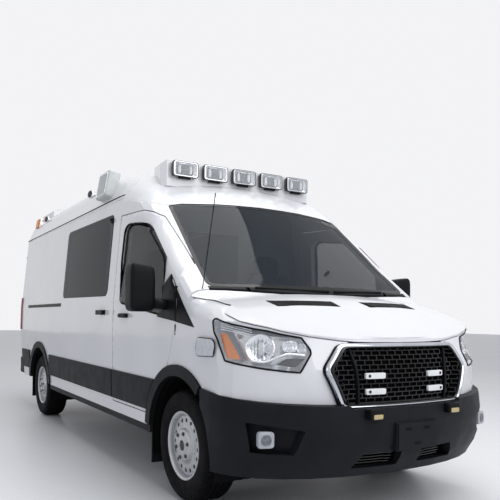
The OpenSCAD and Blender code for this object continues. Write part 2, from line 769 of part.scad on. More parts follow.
// Mirrors
module mirror_head() {
    difference() {
        hull() {
            box(-250, -150, 1075, 1235, 1215, 1530);
            box(-255, -140, 1060, 1240, 1240, 1505);
            box(-225, -115, 1085, 1215, 1260, 1490);
        }
        box(-300, -248, 1082, 1220, 1248, 1498);
    }
    box(-220, -150, side_y(1190) + fit, 1080, 1250, 1310);
    box(-235, -135, side_y(1190) + fit, side_y(1190) + 14, 1190, 1350);
}
module mirror_left() color(black) place() mirror_head();
module mirror_right() color(black) place() right() mirror_head();

// Interior
module floor_panel() color(dark) place() difference() {
    intersection() {
        body(wall + 0.5);
        box(-far, 100, -far, far, floor_z, floor_z + floor_t);
    }
    both_sides() translate([0, pivot_y, 0]) cylinder(h = 2000, r = 500);
    both_sides() box(-wheelbase - 430, -wheelbase + 430, 640, 1100, 0, 1000);
}
module partitions() difference() {
    intersection() {
        body(wall + 0.5);
        union() {
            box(110, 150, -far, far, floor_z + 60, 1190);
            box(partition_x - 30, partition_x, -far, far, floor_z + floor_t + fit, far);
        }
    }
    both_sides() translate([0, pivot_y, 0]) cylinder(h = 760, r = 500);
    box(partition_x - 100, partition_x + 100, -260, 260, 900, gutter_z - 235);
}
module dashboard() color(black) place() difference() {
    intersection() {
        body(wall + 12);
        union() {
            box(-120, 109, -far, far, 1080, 1190);
            box(-40, 109, -far, far, 950, 1090);
            box(-160, -100, -140, 140, floor_z + floor_t + fit, 1085);
        }
    }
    at_wheel() column(26 + fit);
}
module at_wheel() translate([-330, 430, 1190]) rotate([0, -62, 0]) children();
module column(r) translate([0, 0, -340]) cylinder(h = 340, r = r);
module steering_wheel() color(black) place() at_wheel() {
    rotate_extrude($fn = 48) translate([185, 0]) circle(r = 15, $fn = 12);
    for (q = [90, 210, 330]) rotate([0, 0, q]) translate([0, -15, -8]) cube([180, 30, 14]);
    translate([0, 0, -40]) cylinder(h = 50, r = 52);
    column(26);
}
module seats() color([0.2, 0.2, 0.22]) place() both_sides() {
    box(-1020, -560, 270, 760, floor_z + floor_t + fit, seat_z - 110);
    box(-1060, -520, 255, 775, seat_z - 120, seat_z);
    translate([-1020, 0, seat_z]) rotate([0, -14, 0]) box(-130, 0, 265, 765, -30, 640);
    translate([-1020, 0, seat_z]) rotate([0, -14, 0]) box(-115, -20, 380, 650, 620, 820);
}
module cabinets() intersection() {
    body(wall + 1);
    union() {
        box(back_x + 350, partition_x - 250, 480, far, floor_z + floor_t + 410, gutter_z - 105);
        box(back_x + 350, partition_x - 250, -far, -480, floor_z + floor_t + 410, floor_z + floor_t + 490);
        box(back_x + 350, -wheelbase - 480, 480, far, floor_z + floor_t + fit, floor_z + floor_t + 411);
        box(back_x + 350, -wheelbase - 480, -far, -480, floor_z + floor_t + fit, floor_z + floor_t + 411);
        box(-wheelbase + 480, partition_x - 250, 480, far, floor_z + floor_t + fit, floor_z + floor_t + 411);
        box(-wheelbase + 480, slide_rear_x, -far, -480, floor_z + floor_t + fit, floor_z + floor_t + 411);
    }
}

module interior() color([0.72, 0.72, 0.7]) place() {
    partitions();
    cabinets();
}

// Wheels
module tyre(x, s) color(black) place() translate([x, s * half_track, wheel_z]) rotate([-90, 0, 0])
    rotate_extrude($fn = 72) {
        h = tyre_w / 2;
        half = [[rim_d / 2 - 12, 90.4], [rim_d / 2 - 1.6, 95.4], [rim_d / 2 + 0.2, 105.5], [rim_d / 2 + 14, 109],
            [wheel_z - 60, h], [wheel_z - 22, h - 8], [wheel_z - 3, h - 34], [wheel_z, h - 60]];
        polygon(concat(half, [for (i = [len(half) - 1 : -1 : 0]) [half[i][0], -half[i][1]]]));
    }
module rim(x, s) color(steel) place() translate([x, s * half_track, wheel_z]) rotate([-90 * s, 0, 0]) {
    bead = rim_d / 2 - 12 - fit;
    difference() {
        union() {
            rotate_extrude($fn = 72) polygon([[bead, 91], [bead + 10, 96], [bead + 12, 106], [bead + 4, 106],
                [bead - 8, 98], [bead - 9, 30], [bead - 34, 12], [bead - 34, -40], [bead - 9, -60], [bead - 8, -98],
                [bead + 4, -106], [bead + 12, -106], [bead + 10, -96], [bead, -91], [bead, -56], [bead - 26, -34],
                [bead - 26, 8], [bead, 26]]);
            rotate_extrude($fn = 72) polygon([[spindle_r + run, 64], [112, 64], [150, 38], [bead - 30, 4],
                [bead - 30, -6], [bead - 38, -6], [140, 24], [104, 52], [100, -20], [spindle_r + run, -20]]);
        }
        for (i = [0 : hand_holes - 1]) rotate([0, 0, i * 360 / hand_holes]) translate([146, 0, -20])
            cylinder(h = 100, r = 13, $fn = 24);
        for (i = [0 : bolt_count - 1]) rotate([0, 0, i * 360 / bolt_count]) translate([bolt_pcd / 2, 0, -60])
            cylinder(h = 160, r = bolt_r, $fn = 24);
    }
    translate([0, 0, 64]) cylinder(h = 22, r1 = 62, r2 = 54);
}
module tyre_front_left() tyre(0, 1);
module tyre_front_right() tyre(0, -1);
module tyre_rear_left() tyre(-wheelbase, 1);
module tyre_rear_right() tyre(-wheelbase, -1);
module rim_front_left() rim(0, 1);
module rim_front_right() rim(0, -1);
module rim_rear_left() rim(-wheelbase, 1);
module rim_rear_right() rim(-wheelbase, -1);

// Steering knuckle with its strut on the pivot line
module knuckle() color(steel) place() difference() {
    union() {
        translate([0, pivot_y, 270]) cylinder(h = 210, r = 46);
        translate([0, pivot_y, 470]) cylinder(h = 330, r = 32);
        translate([0, pivot_y, 790]) cylinder(h = 150, r = 14);
        translate([0, pivot_y, wheel_z]) rotate([-90, 0, 0]) cylinder(h = half_track - 28 - pivot_y, r = 44);
        translate([0, pivot_y, wheel_z]) rotate([-90, 0, 0]) cylinder(h = half_track + 58 - pivot_y, r = spindle_r);
        translate([0, half_track - 70, wheel_z]) rotate([-90, 0, 0]) cylinder(h = 22, r = 140);
    }
    translate([0, pivot_y, 200]) cylinder(h = 134, r = 16 + run);
}
module knuckle_left() knuckle();
module knuckle_right() mirror([0, 1, 0]) knuckle();

// Chassis
module chassis() color(black) place() difference() {
    union() {
        both_sides() box(back_x + 140, 700, rail_y - rail_w / 2, rail_y + rail_w / 2, rail_z, rail_z + 110);
        for (x = [600, -wheelbase - 750]) box(x - 40, x + 40, -rail_y, rail_y, rail_z + 10, rail_z + 100);
        for (x = [-1100, -wheelbase + 1450]) box(x - 40, x + 40, -rail_y, rail_y, rail_z + 95, floor_z - 10);
        box(back_x + 150, back_x + 210, -rail_y, rail_y, rail_z - 90, rail_z + 110);
        box(-90, 90, -rail_y - rail_w / 2, rail_y + rail_w / 2, rail_z - 100, rail_z + 20);
        // Body mounts under the floor
        both_sides() for (x = [-800, -wheelbase + 1650, -wheelbase + 650, -wheelbase - 650])
            box(x - 50, x + 50, rail_y - 30, rail_y + 30, rail_z + 100, floor_z - fit);
        both_sides() {
            // Lower arm with its ball pin
            hull() {
                translate([0, pivot_y, 212]) cylinder(h = 24, r = 40);
                box(-120, 120, 380, 400, rail_z - 140, rail_z - 116);
            }
            translate([0, pivot_y, 230]) cylinder(h = 94, r = 16);
            box(-120, 120, 380, 420, rail_z - 140, rail_z);
            // Strut tower
            box(-60, 60, rail_y + rail_w / 2 - 10, rail_y + rail_w / 2 + 30, rail_z, 936);
            box(-60, 60, rail_y + rail_w / 2 - 10, pivot_y + 60, 910, 936);
        }
    }
    both_sides() translate([0, pivot_y, 880]) cylinder(h = 90, r = 14 + run);
    translate([back_x + 140, 0, rail_z - 45]) rotate([0, 90, 0]) cylinder(h = 100, r = tow_r);
}
module rear_axle() color(black) place() translate([-wheelbase, 0, wheel_z]) {
    rotate([-90, 0, 0]) cylinder(h = track + 116, r = spindle_r, center = true);
    rotate([-90, 0, 0]) cylinder(h = track - 56, r = 50, center = true);
    both_sides() translate([0, half_track - 70, 0]) rotate([-90, 0, 0]) cylinder(h = 22, r = 140);
    rotate([-90, 0, 0]) cylinder(h = 190, r = 130, center = true);
    both_sides() {
        // Leaf spring between two hangers
        translate([0, spring_y, spring_r + 62]) rotate([90, 0, 0]) rotate([0, 0, -110])
            rotate_extrude(angle = 40, $fn = 96) translate([spring_r - 14, -35]) square([28, 70]);
        for (x = [-590, 590]) box(x - 30, x + 30, rail_y + rail_w / 2 + fit, spring_y + 48, 90, 190);
        box(-60, 60, spring_y - 42, spring_y + 42, -62, 94);
    }
}
module driveline() {
    box(-650, 105, -160, 160, rail_z + 25, floor_z - fit);
    translate([-640, 0, 500]) rotate([0, -90 + atan2(wheel_z - 500, wheelbase - 640 - 120), 0])
        cylinder(h = wheelbase - 640 - 128, r = 42);
}
module exhaust() {
    translate([-400, -260, 400]) rotate([0, -90, 0]) cylinder(h = wheelbase - 1200, r = 32);
    translate([-1500, -260, 400]) rotate([0, -90, 0]) cylinder(h = 700, r = 90);
    for (x = [-700, -wheelbase + 1050]) box(x - 15, x + 15, -275, -245, 400, floor_z - fit);
}
module fuel_tank() box(-2450, -1350, 480, 860, 370, floor_z - fit);
module underbody() color(steel) place() {
    driveline();
    exhaust();
    fuel_tank();
}
module engine() color(steel) place() box(162, 560 - fit, -290, 290, rail_z + 20 + fit, 1010);

floor_panel();
side_left();
side_right();
roof();
roof_caps();
wings();
fascia();
hood();
hood_fittings();
cowl();
windscreen();
front_door_left();
front_door_right();
front_glass_left();
front_glass_right();
door_trim_left();
door_trim_right();
mirror_left();
mirror_right();
rear_door_left();
rear_door_right();
rear_glass_left();
rear_glass_right();
rear_fittings_left();
rear_fittings_right();
hinge_pins();
sliding_door();
sliding_glass();
sliding_hardware();
cladding();
front_bumper();
front_lamps();
grille();
grille_surround();
headlamps();
roof_lights();
tail_lamps();
rear_bumper();
interior();
dashboard();
steering_wheel();
seats();
tyre_front_left();
tyre_front_right();
tyre_rear_left();
tyre_rear_right();
rim_front_left();
rim_front_right();
rim_rear_left();
rim_rear_right();
knuckle_left();
knuckle_right();
chassis();
rear_axle();
underbody();
engine();
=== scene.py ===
# %% [markdown]
# A van-type ambulance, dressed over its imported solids. The solids give every outline, joint and
# place; this lesson gives them their finishes and adds what is too fine for a solid: tread,
# gaskets, lamp bowls, lens ribs and the mesh of the grille.
# Everything is in metres, with +X to the nose, +Y to the vehicle's left and z = 0 on the road.

# %% The frame
import json
import math
import bmesh
import bpy
import numpy as np
from mathutils import Matrix


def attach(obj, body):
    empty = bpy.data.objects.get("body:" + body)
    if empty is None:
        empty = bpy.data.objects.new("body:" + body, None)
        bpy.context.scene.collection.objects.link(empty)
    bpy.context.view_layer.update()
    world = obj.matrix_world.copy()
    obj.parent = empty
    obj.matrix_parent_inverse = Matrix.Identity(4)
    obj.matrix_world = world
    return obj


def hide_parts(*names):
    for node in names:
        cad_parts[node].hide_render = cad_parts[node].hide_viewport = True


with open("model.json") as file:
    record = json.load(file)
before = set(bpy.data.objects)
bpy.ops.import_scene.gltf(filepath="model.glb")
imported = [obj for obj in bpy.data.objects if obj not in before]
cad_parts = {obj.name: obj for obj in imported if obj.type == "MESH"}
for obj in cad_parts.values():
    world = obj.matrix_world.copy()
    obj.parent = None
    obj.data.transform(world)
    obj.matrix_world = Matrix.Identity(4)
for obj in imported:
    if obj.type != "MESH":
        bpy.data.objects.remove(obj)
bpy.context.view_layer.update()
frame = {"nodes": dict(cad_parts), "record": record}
nodes = frame["nodes"]
AXLE, SIDES, HANDS = 1.925, (-1.0, 1.0), ((1.0, "left"), (-1.0, "right"))
X_AXIS, Y_AXIS, Z_AXIS = np.eye(3)

# %% [markdown]
# The photograph was taken from the right front corner at chest height with a normal lens. Three
# unit vectors describe that view: the line of sight, the picture's right and its up. They are the
# columns of the camera's matrix, so no angles have to be juggled. The lens follows from the focal
# length in pixels on a picture 500 pixels wide, and a little shift puts the horizon where it was.

# %% The camera
FOCAL, CENTRE_X, CENTRE_Y, PICTURE = 592.5, 202.3, 314.0, 500.0
SENSOR, STAND = 36.0, (AXLE + 3.405, -2.687, 1.176)
yaw, pitch, roll = np.radians([28.51, 0.39, 0.62])
sight = np.array([-np.cos(yaw) * np.cos(pitch), np.sin(yaw) * np.cos(pitch), np.sin(pitch)])
level = np.array([np.sin(yaw), np.cos(yaw), 0.0])
above = np.cross(level, sight)
across = np.cos(roll) * level + np.sin(roll) * above
upward = np.cos(roll) * above - np.sin(roll) * level

camera = bpy.data.objects.new("camera", bpy.data.cameras.new("camera"))
bpy.context.scene.collection.objects.link(camera)
turn = np.eye(4)
turn[:3, :3] = np.stack([across, upward, -sight], axis=1)
turn[:3, 3] = STAND
camera.matrix_world = Matrix(turn.tolist())
camera.data.sensor_width = SENSOR
camera.data.lens = FOCAL / PICTURE * SENSOR
camera.data.shift_x = (PICTURE / 2 - CENTRE_X) / PICTURE
camera.data.shift_y = (CENTRE_Y - PICTURE / 2) / PICTURE
bpy.context.scene.camera = camera
print("lens:", round(camera.data.lens, 2), "mm, shift:", round(camera.data.shift_x, 3),
      round(camera.data.shift_y, 3))

# %% [markdown]
# Most pieces below are grids: a function gives a point for every pair of parameters, and the quads
# between neighbouring points are the surface. These helpers turn arrays into a mesh, and the mesh
# into a piece that rides on a body of the model.

# %% Helpers for grids
def grid_faces(rows, columns, wrap_rows=False, wrap_columns=False):
    """Corners of each cell of a grid: a point, the next in its row and the two beside them; a
    grid that closes joins its last row or column to the first."""
    a = np.arange(rows if wrap_rows else rows - 1)
    b = np.arange(columns if wrap_columns else columns - 1)
    a, b = np.meshgrid(a, b, indexing="ij")
    c, d = (a + 1) % rows, (b + 1) % columns
    cells = np.stack([a * columns + b, c * columns + b, c * columns + d, a * columns + d], -1)
    return cells.reshape(-1, 4)


def shell(points, wrap_rows=False, wrap_columns=False, cap=False):
    """Points and quads of one grid, with the first and last row closed by fans where cap is set."""
    points = np.asarray(points, float)
    rows, columns = points.shape[:2]
    faces = grid_faces(rows, columns, wrap_rows, wrap_columns)
    flat = points.reshape(-1, 3)
    if cap:
        ends = np.stack([points[0].mean(0), points[-1].mean(0)])
        ring = np.arange(columns)
        follow = (ring + 1) % columns
        middle = np.full(columns, rows * columns)
        last = (rows - 1) * columns
        first_fan = np.stack([ring, follow, middle, middle], -1)
        last_fan = np.stack([last + follow, last + ring, middle + 1, middle + 1], -1)
        flat = np.concatenate([flat, ends])
        faces = np.concatenate([faces, first_fan, last_fan])
    return flat, faces


def join(parts):
    """Several shells as one set of points and quads, each set's numbers moved past the last."""
    offsets = np.cumsum([0] + [len(p) for p, _ in parts[:-1]])
    return (np.concatenate([p for p, _ in parts]),
            np.concatenate([f + o for (_, f), o in zip(parts, offsets)]))


SHARP_EDGE, MERGE = math.radians(38), 1e-6
slot_of = {}


def add_object(name, mesh, coat, body, slot=None, instead_of=()):
    """A mesh as a piece of the scene. It wears a finish, rides on a body and may stand for solids.
    The slot, the finish's own unless another one is named, is worked out but not given to the piece."""
    mesh.materials.append(coat)
    piece = bpy.data.objects.new(name, mesh)
    bpy.context.scene.collection.objects.link(piece)
    slot = slot or slot_of[coat]
    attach(piece, body)
    if instead_of:
        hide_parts(*instead_of)
    return piece


def add_piece(name, made, coat, body="body", slot=None, instead_of=(), bevel=0.0):
    """Puts points and quads into a mesh, turns its faces outwards and makes it a piece."""
    points, faces = made
    mesh = bpy.data.meshes.new(name)
    corners = [tuple(dict.fromkeys(f)) for f in np.asarray(faces).tolist()]
    mesh.from_pydata(np.asarray(points, float).tolist(), [], corners)
    work = bmesh.new()
    work.from_mesh(mesh)
    bmesh.ops.remove_doubles(work, verts=work.verts, dist=MERGE)
    bmesh.ops.recalc_face_normals(work, faces=work.faces)
    work.to_mesh(mesh)
    work.free()
    mesh.shade_smooth()
    mesh.set_sharp_from_angle(angle=SHARP_EDGE)
    piece = add_object(name, mesh, coat, body, slot, instead_of)
    if bevel:
        rounding = piece.modifiers.new("rounding", "BEVEL")
        rounding.width, rounding.segments, rounding.limit_method = bevel, 2, "ANGLE"
    return piece


def mirrored(made):
    """The same shell on the other side of the vehicle: y changes sign."""
    points, faces = made
    return points * np.array([1.0, -1.0, 1.0]), faces[:, ::-1]


print("helpers: grid_faces, shell, join, add_object, add_piece, mirrored")

# %% [markdown]
# Real surfaces are never one flat colour. Four effects turn up on nearly every part of a van that
# works for its living: gloss that varies from patch to patch, a fine moulded or sprayed texture,
# road dust that thins out upwards, and streaks along the direction of rolling or brushing. Each is
# a node group that puts out one value, so that a finish only has to say how much of it there is.

# %% Effects shared by the finishes
def effect(name, inputs, output):
    """An empty node group with named number inputs and one number output."""
    group = bpy.data.node_groups.new(name, "ShaderNodeTree")
    for label, value in inputs:
        group.interface.new_socket(label, in_out="INPUT",
                                   socket_type="NodeSocketFloat").default_value = value
    group.interface.new_socket(output, in_out="OUTPUT", socket_type="NodeSocketFloat")
    return group, group.nodes.new("NodeGroupInput"), group.nodes.new("NodeGroupOutput")


def put(tree, kind, links=(), **settings):
    """A node with its settings and (socket, source) links made."""
    node = tree.nodes.new(kind)
    for key, value in settings.items():
        setattr(node, key, value)
    for socket, source in links:
        if hasattr(source, "is_linked"):
            tree.links.new(source, node.inputs[socket])
        else:
            node.inputs[socket].default_value = source
    return node


def noise_on(group, scale, detail, stretch=None):
    """Noise over the piece's own coordinates, which may be stretched first."""
    place = put(group, "ShaderNodeTexCoord").outputs["Object"]
    if stretch:
        place = put(group, "ShaderNodeMapping", [("Vector", place), ("Scale", stretch)]).outputs["Vector"]
    links = [("Vector", place), ("Scale", scale), ("Detail", detail)]
    return put(group, "ShaderNodeTexNoise", links).outputs["Fac"]


def make_spread(name, label, size, detail, stretch=None):
    """Soft noise spread between a low and a high value."""
    group, given, result = effect(name, [(label, size), ("Low", 0.3), ("High", 0.5)], "Value")
    spread = put(group, "ShaderNodeMapRange",
                 [("Value", noise_on(group, given.outputs[label], detail, stretch)), ("From Min", 0.3),
                  ("From Max", 0.7), ("To Min", given.outputs["Low"]), ("To Max", given.outputs["High"])])
    group.links.new(spread.outputs["Result"], result.inputs["Value"])
    return group


def make_grain():
    """The height of a fine pebbled skin: noise over cells."""
    group, given, result = effect("grain", [("Scale", 800.0), ("Depth", 1.0)], "Height")
    place, size = put(group, "ShaderNodeTexCoord").outputs["Object"], given.outputs["Scale"]
    cells = put(group, "ShaderNodeTexVoronoi", [("Vector", place), ("Scale", size)]).outputs["Distance"]
    both = put(group, "ShaderNodeMath", [(0, cells), (1, noise_on(group, size, 2.0))], operation="ADD")
    depth = put(group, "ShaderNodeMath", [(0, both.outputs[0]), (1, given.outputs["Depth"])],
                operation="MULTIPLY")
    group.links.new(depth.outputs[0], result.inputs["Height"])
    return group


def make_dust():
    """How much dust lies at a height: full at the road, none at Top, broken up by noise."""
    group, given, result = effect("road dust", [("Top", 0.9), ("Amount", 0.3)], "Mask")
    place = put(group, "ShaderNodeTexCoord").outputs["Object"]
    height = put(group, "ShaderNodeSeparateXYZ", [("Vector", place)]).outputs["Z"]
    links = [("Value", height), ("From Min", 0.15), ("From Max", given.outputs["Top"]), ("To Min", 1.0),
             ("To Max", 0.0)]
    rise = put(group, "ShaderNodeMapRange", links).outputs["Result"]
    broken = put(group, "ShaderNodeMath", [(0, rise), (1, noise_on(group, 9.0, 6.0))], operation="MULTIPLY")
    share = put(group, "ShaderNodeMath", [(0, broken.outputs[0]), (1, given.outputs["Amount"])],
                operation="MULTIPLY", use_clamp=True)
    group.links.new(share.outputs[0], result.inputs["Mask"])
    return group


patches = make_spread("patches", "Scale", 3.0, 4.0)
streaks = make_spread("streaks", "Fineness", 400.0, 3.0, (0.02, 1.0, 1.0))
grain, dust = make_grain(), make_dust()
print("effects:", [g.name for g in (patches, grain, dust, streaks)])

# %% [markdown]
# A finish starts from two shades of its colour, mixed by slow patches, then takes dust, a gloss
# range and a fine skin. Paint is smooth with a coat, moulded plastic is matt and pebbled, rubber is
# duller still. Plain numbers sit on the shader itself, so that they survive an export.

# %% The recipe for a finish
DUST, PRINT, SKIN_DEPTH, RIB_DEPTH, GLASS_IOR = (150, 144, 134), (10, 10, 11), 0.001, 0.002, 1.5


def colour(r, g, b):
    """A screen colour from 0 to 255 as the linear value that a shader wants."""
    s = np.array([r, g, b]) / 255.0
    linear = np.where(s <= 0.04045, s / 12.92, ((s + 0.055) / 1.055) ** 2.4)
    return tuple(linear) + (1.0,)


def use(tree, group, **values):
    """A shared effect placed in a finish with its own values."""
    node = tree.nodes.new("ShaderNodeGroup")
    node.node_tree = group
    for label, value in values.items():
        node.inputs[label].default_value = value
    return node.outputs[0]


def blend(tree, share, low, high):
    """One colour passing into another by a mask."""
    node = put(tree, "ShaderNodeMix", data_type="RGBA")
    for index, source in ((0, share), (6, low), (7, high)):
        if hasattr(source, "is_linked"):
            tree.links.new(source, node.inputs[index])
        else:
            node.inputs[index].default_value = source
    return node.outputs[2]


def finish(name, light, dark, gloss=(0.3, 0.4), patch=3.0, skin=(800.0, 0.0), dusty=(0.9, 0.0), fine=None,
           slot=None, **plain):
    """Two shades mixed by patches, dust over them, gloss between two roughnesses, a fine skin as
    a bump, and any plain shader values. Its slot, its own name unless another is given, is kept in a table."""
    material = bpy.data.materials.new(name)
    slot_of[material] = slot or name
    material.use_nodes = True
    tree = material.node_tree
    shader = tree.nodes["Principled BSDF"]
    for label, value in plain.items():
        shader.inputs[label.replace("_", " ")].default_value = value
    base = blend(tree, use(tree, patches, Scale=patch, Low=0.0, High=1.0), colour(*light), colour(*dark))
    if dusty[1]:
        base = blend(tree, use(tree, dust, Top=dusty[0], Amount=dusty[1]), base, colour(*DUST))
    tree.links.new(base, shader.inputs["Base Color"])
    rough = use(tree, streaks, Fineness=fine, Low=gloss[0], High=gloss[1]) if fine else use(
        tree, patches, Scale=patch * 2.3, Low=gloss[0], High=gloss[1])
    tree.links.new(rough, shader.inputs["Roughness"])
    if skin[1]:
        bump = put(tree, "ShaderNodeBump", [("Height", use(tree, grain, Scale=skin[0], Depth=1.0)),
                                            ("Strength", skin[1]), ("Distance", SKIN_DEPTH)])
        tree.links.new(bump.outputs["Normal"], shader.inputs["Normal"])
    return material


# %% [markdown]
# The finishes of the vehicle, from its white paint to the coated floor of the ward. Two shades that
# lie close together keep a surface alive without making it look dirty. Each finish also names the
# record's slot that its pieces belong to, where that differs from its own name.

# %% The finishes of the vehicle
paint = finish("white_paint", (226, 227, 230), (219, 221, 225), (0.16, 0.24), 1.6, (260.0, 0.02),
               (0.8, 0.10), Coat_Weight=0.5, Coat_Roughness=0.06)
trim = finish("dark_plastic", (30, 31, 36), (24, 25, 29), (0.40, 0.52), 5.0, (900.0, 0.2), (0.7, 0.03),
              Specular_IOR_Level=0.08)
black = finish("black_plastic", (20, 21, 24), (15, 16, 18), (0.34, 0.46), 6.0, (1000.0, 0.15),
               Specular_IOR_Level=0.1)
gloss_black = finish("gloss_black", (18, 18, 20), (12, 12, 14), (0.12, 0.2), 4.0, slot="black_plastic")
rubber = finish("tyre_rubber", (17, 17, 19), (11, 11, 13), (0.6, 0.78), 8.0, (700.0, 0.25),
                Specular_IOR_Level=0.08, slot="black_plastic")
wheel_silver = finish("wheel_steel", (196, 197, 200), (174, 176, 180), (0.26, 0.36), 9.0, (900.0, 0.05),
                      Metallic=0.45)
chrome = finish("chrome_trim", (238, 240, 243), (224, 227, 232), (0.06, 0.12), 12.0, Metallic=0.8)
bowl = finish("lamp_bowl", (240, 242, 245), (226, 229, 234), (0.08, 0.16), 30.0, Metallic=0.75,
              slot="chrome_trim")
satin = finish("satin_metal", (206, 208, 212), (186, 189, 194), (0.26, 0.36), 20.0, fine=600.0,
               Metallic=0.8, slot="chrome_trim")
steel = finish("dark_steel", (58, 57, 57), (44, 42, 42), (0.5, 0.7), 7.0, (500.0, 0.2), (0.8, 0.3),
               Metallic=0.35)
cloth = finish("seat_cloth", (72, 74, 80), (58, 60, 66), (0.75, 0.9), 30.0, (1500.0, 0.5), Sheen_Weight=0.3)
board = finish("cabinet_board", (158, 161, 163), (146, 149, 152), (0.3, 0.42), 4.0, (900.0, 0.06))
lino = finish("floor_coat", (96, 98, 102), (76, 78, 84), (0.4, 0.55), 220.0, (900.0, 0.2))
white_led = finish("lamp_white", (240, 241, 243), (228, 230, 233), (0.15, 0.25), 20.0, slot="lamp_lens")
print("finishes:", len(bpy.data.materials))

# %% [markdown]
# Glass is thin, and what matters is what shows through it and how dark its tint is. Alpha lets
# light straight through without bending, which keeps the cab lit behind it. A ceramic band of
# black print hides the glue along the edge. Each pane carries an attribute, the distance to its
# own rim, so that the band can follow the outline of any window.

# %% Glass with a printed border
def glass(name, slot, tint, veil, border, shine=0.32, fade=0.004):
    """A tinted pane: Alpha is the veil of the tint, and 1 in the printed band near the rim."""
    material = finish(name, tint, tint, (0.015, 0.03), 2.0, slot=slot)
    tree = material.node_tree
    shader = tree.nodes["Principled BSDF"]
    shader.inputs["IOR"].default_value = GLASS_IOR
    shader.inputs["Specular IOR Level"].default_value = shine
    rim = put(tree, "ShaderNodeAttribute", attribute_name="rim")
    band = put(tree, "ShaderNodeMapRange", [("Value", rim.outputs["Fac"]), ("From Min", border),
                                            ("From Max", border + fade), ("To Min", 1.0), ("To Max", 0.0)])
    links = [("Value", band.outputs["Result"]), ("To Min", veil), ("To Max", 1.0)]
    cover = put(tree, "ShaderNodeMapRange", links)
    tree.links.new(cover.outputs["Result"], shader.inputs["Alpha"])
    tree.links.new(blend(tree, band.outputs["Result"], colour(*tint), colour(*PRINT)),
                   shader.inputs["Base Color"])
    return material


screen_glass = glass("screen_glass", "clear_glass", (20, 34, 46), 0.38, 0.030, 0.22)
side_glass = glass("side_glass", "clear_glass", (16, 22, 26), 0.52, 0.014)
dark_glass = glass("dark_glass", "dark_glass", (10, 13, 18), 0.88, 0.012, 0.14)


def lens(name, tint, veil, ribs=0.0, spacing=120.0):
    """A lamp cover: tinted, mostly clear, with moulded ribs as a bump where asked."""
    material = finish(name, tint, tint, (0.04, 0.08), 6.0, slot="lamp_lens")
    tree = material.node_tree
    shader = tree.nodes["Principled BSDF"]
    shader.inputs["Alpha"].default_value = veil
    if ribs:
        place = put(tree, "ShaderNodeTexCoord")
        wave = put(tree, "ShaderNodeTexWave", [("Vector", place.outputs["Object"]), ("Scale", spacing)],
                   bands_direction="Y")
        bump = put(tree, "ShaderNodeBump", [("Height", wave.outputs["Fac"]), ("Strength", ribs),
                                            ("Distance", RIB_DEPTH)])
        tree.links.new(bump.outputs["Normal"], shader.inputs["Normal"])
    return material


clear_lens = lens("clear_lens", (225, 230, 236), 0.14)
ribbed_lens = lens("ribbed_lens", (214, 219, 226), 0.55, 0.5, 60.0)
amber_lens = lens("amber_lens", (226, 128, 34), 0.92, 0.4, 40.0)
red_lens = lens("red_lens", (150, 16, 18), 0.95, 0.4, 40.0)
print("finishes with glass and lenses:", len(bpy.data.materials))

# %% [markdown]
# The pressed panels. Sheet steel leaves the press with long even curves, and paint shows every
# break in them. The solids have the right outlines, but they are built of flat facets. So each
# panel is copied, its loose triangles are merged and cut small, and the direction of every face is
# evened out with its neighbours, again and again, never across a sharp edge. The corners then take
# the evened direction as their shading normal: the outline stays and the facets go.

# %% Smooth shading for the pressed panels
def read(items, label, width, kind=float):
    """One property of all points, edges, corners or faces of a mesh, as an array."""
    values = np.empty(len(items) * width, kind)
    items.foreach_get(label, values)
    return values if width == 1 else values.reshape(-1, width)


def fine_copy(node, longest):
    """The node's triangles merged, and every edge longer than `longest` halved until none is left."""
    work = bmesh.new()
    work.from_mesh(nodes[node].data)
    bmesh.ops.remove_doubles(work, verts=work.verts, dist=2e-5)
    for _ in range(9):
        long_edges = [e for e in work.edges if e.calc_length() > longest]
        if not long_edges:
            break
        bmesh.ops.subdivide_edges(work, edges=long_edges, cuts=1)
        bmesh.ops.triangulate(work, faces=[f for f in work.faces if len(f.verts) > 3])
    mesh = bpy.data.meshes.new(node + "_skin")
    work.to_mesh(mesh)
    work.free()
    return mesh


def edge_sides(mesh):
    """For every edge between two triangles: its number and the numbers of both faces."""
    corner_edge = read(mesh.loops, "edge_index", 1, np.int64)
    order = np.argsort(corner_edge, kind="stable")
    edge, face = corner_edge[order], (np.arange(len(mesh.loops)) // 3)[order]
    pair = np.flatnonzero(edge[:-1] == edge[1:])
    return edge[pair], face[pair], face[pair + 1]


def evened_normals(mesh, crease, rounds):
    """Corner directions of a mesh of triangles. Each face's direction becomes the area-weighed
    mean of its own and those across its soft edges, `rounds` times; a corner takes the mean over
    the faces of its own smooth patch that meet there."""
    count = len(mesh.polygons)
    corner_vertex = read(mesh.loops, "vertex_index", 1, np.int64)
    normal, area = read(mesh.polygons, "normal", 3), np.maximum(read(mesh.polygons, "area", 1), 1e-9)
    face = np.repeat(np.arange(count), 3)
    _, a, b = edge_sides(mesh)
    soft = (normal[a] * normal[b]).sum(1) > math.cos(crease)
    a, b = a[soft], b[soft]
    evened = normal.copy()
    for _ in range(rounds):
        total = evened * area[:, None]
        for axis in range(3):
            total[:, axis] += np.bincount(a, evened[b, axis] * area[b], count)
            total[:, axis] += np.bincount(b, evened[a, axis] * area[a], count)
        evened = total / np.maximum(np.linalg.norm(total, axis=1, keepdims=True), 1e-12)
    patch = np.arange(count)
    while True:
        lowest = patch.copy()
        np.minimum.at(lowest, a, patch[b])
        np.minimum.at(lowest, b, patch[a])
        lowest = lowest[lowest]
        if (lowest == patch).all():
            break
        patch = lowest
    key = corner_vertex * count + patch[face]
    _, key = np.unique(key, return_inverse=True)
    mean = np.stack([np.bincount(key, evened[face, axis] * area[face]) for axis in range(3)], 1)
    mean /= np.maximum(np.linalg.norm(mean, axis=1, keepdims=True), 1e-12)
    return mean[key]


def body_of(node):
    """The name of the body that a node belongs to."""
    return next(b for b, members in frame["record"]["behaviour"]["bodies"].items() if node in members)


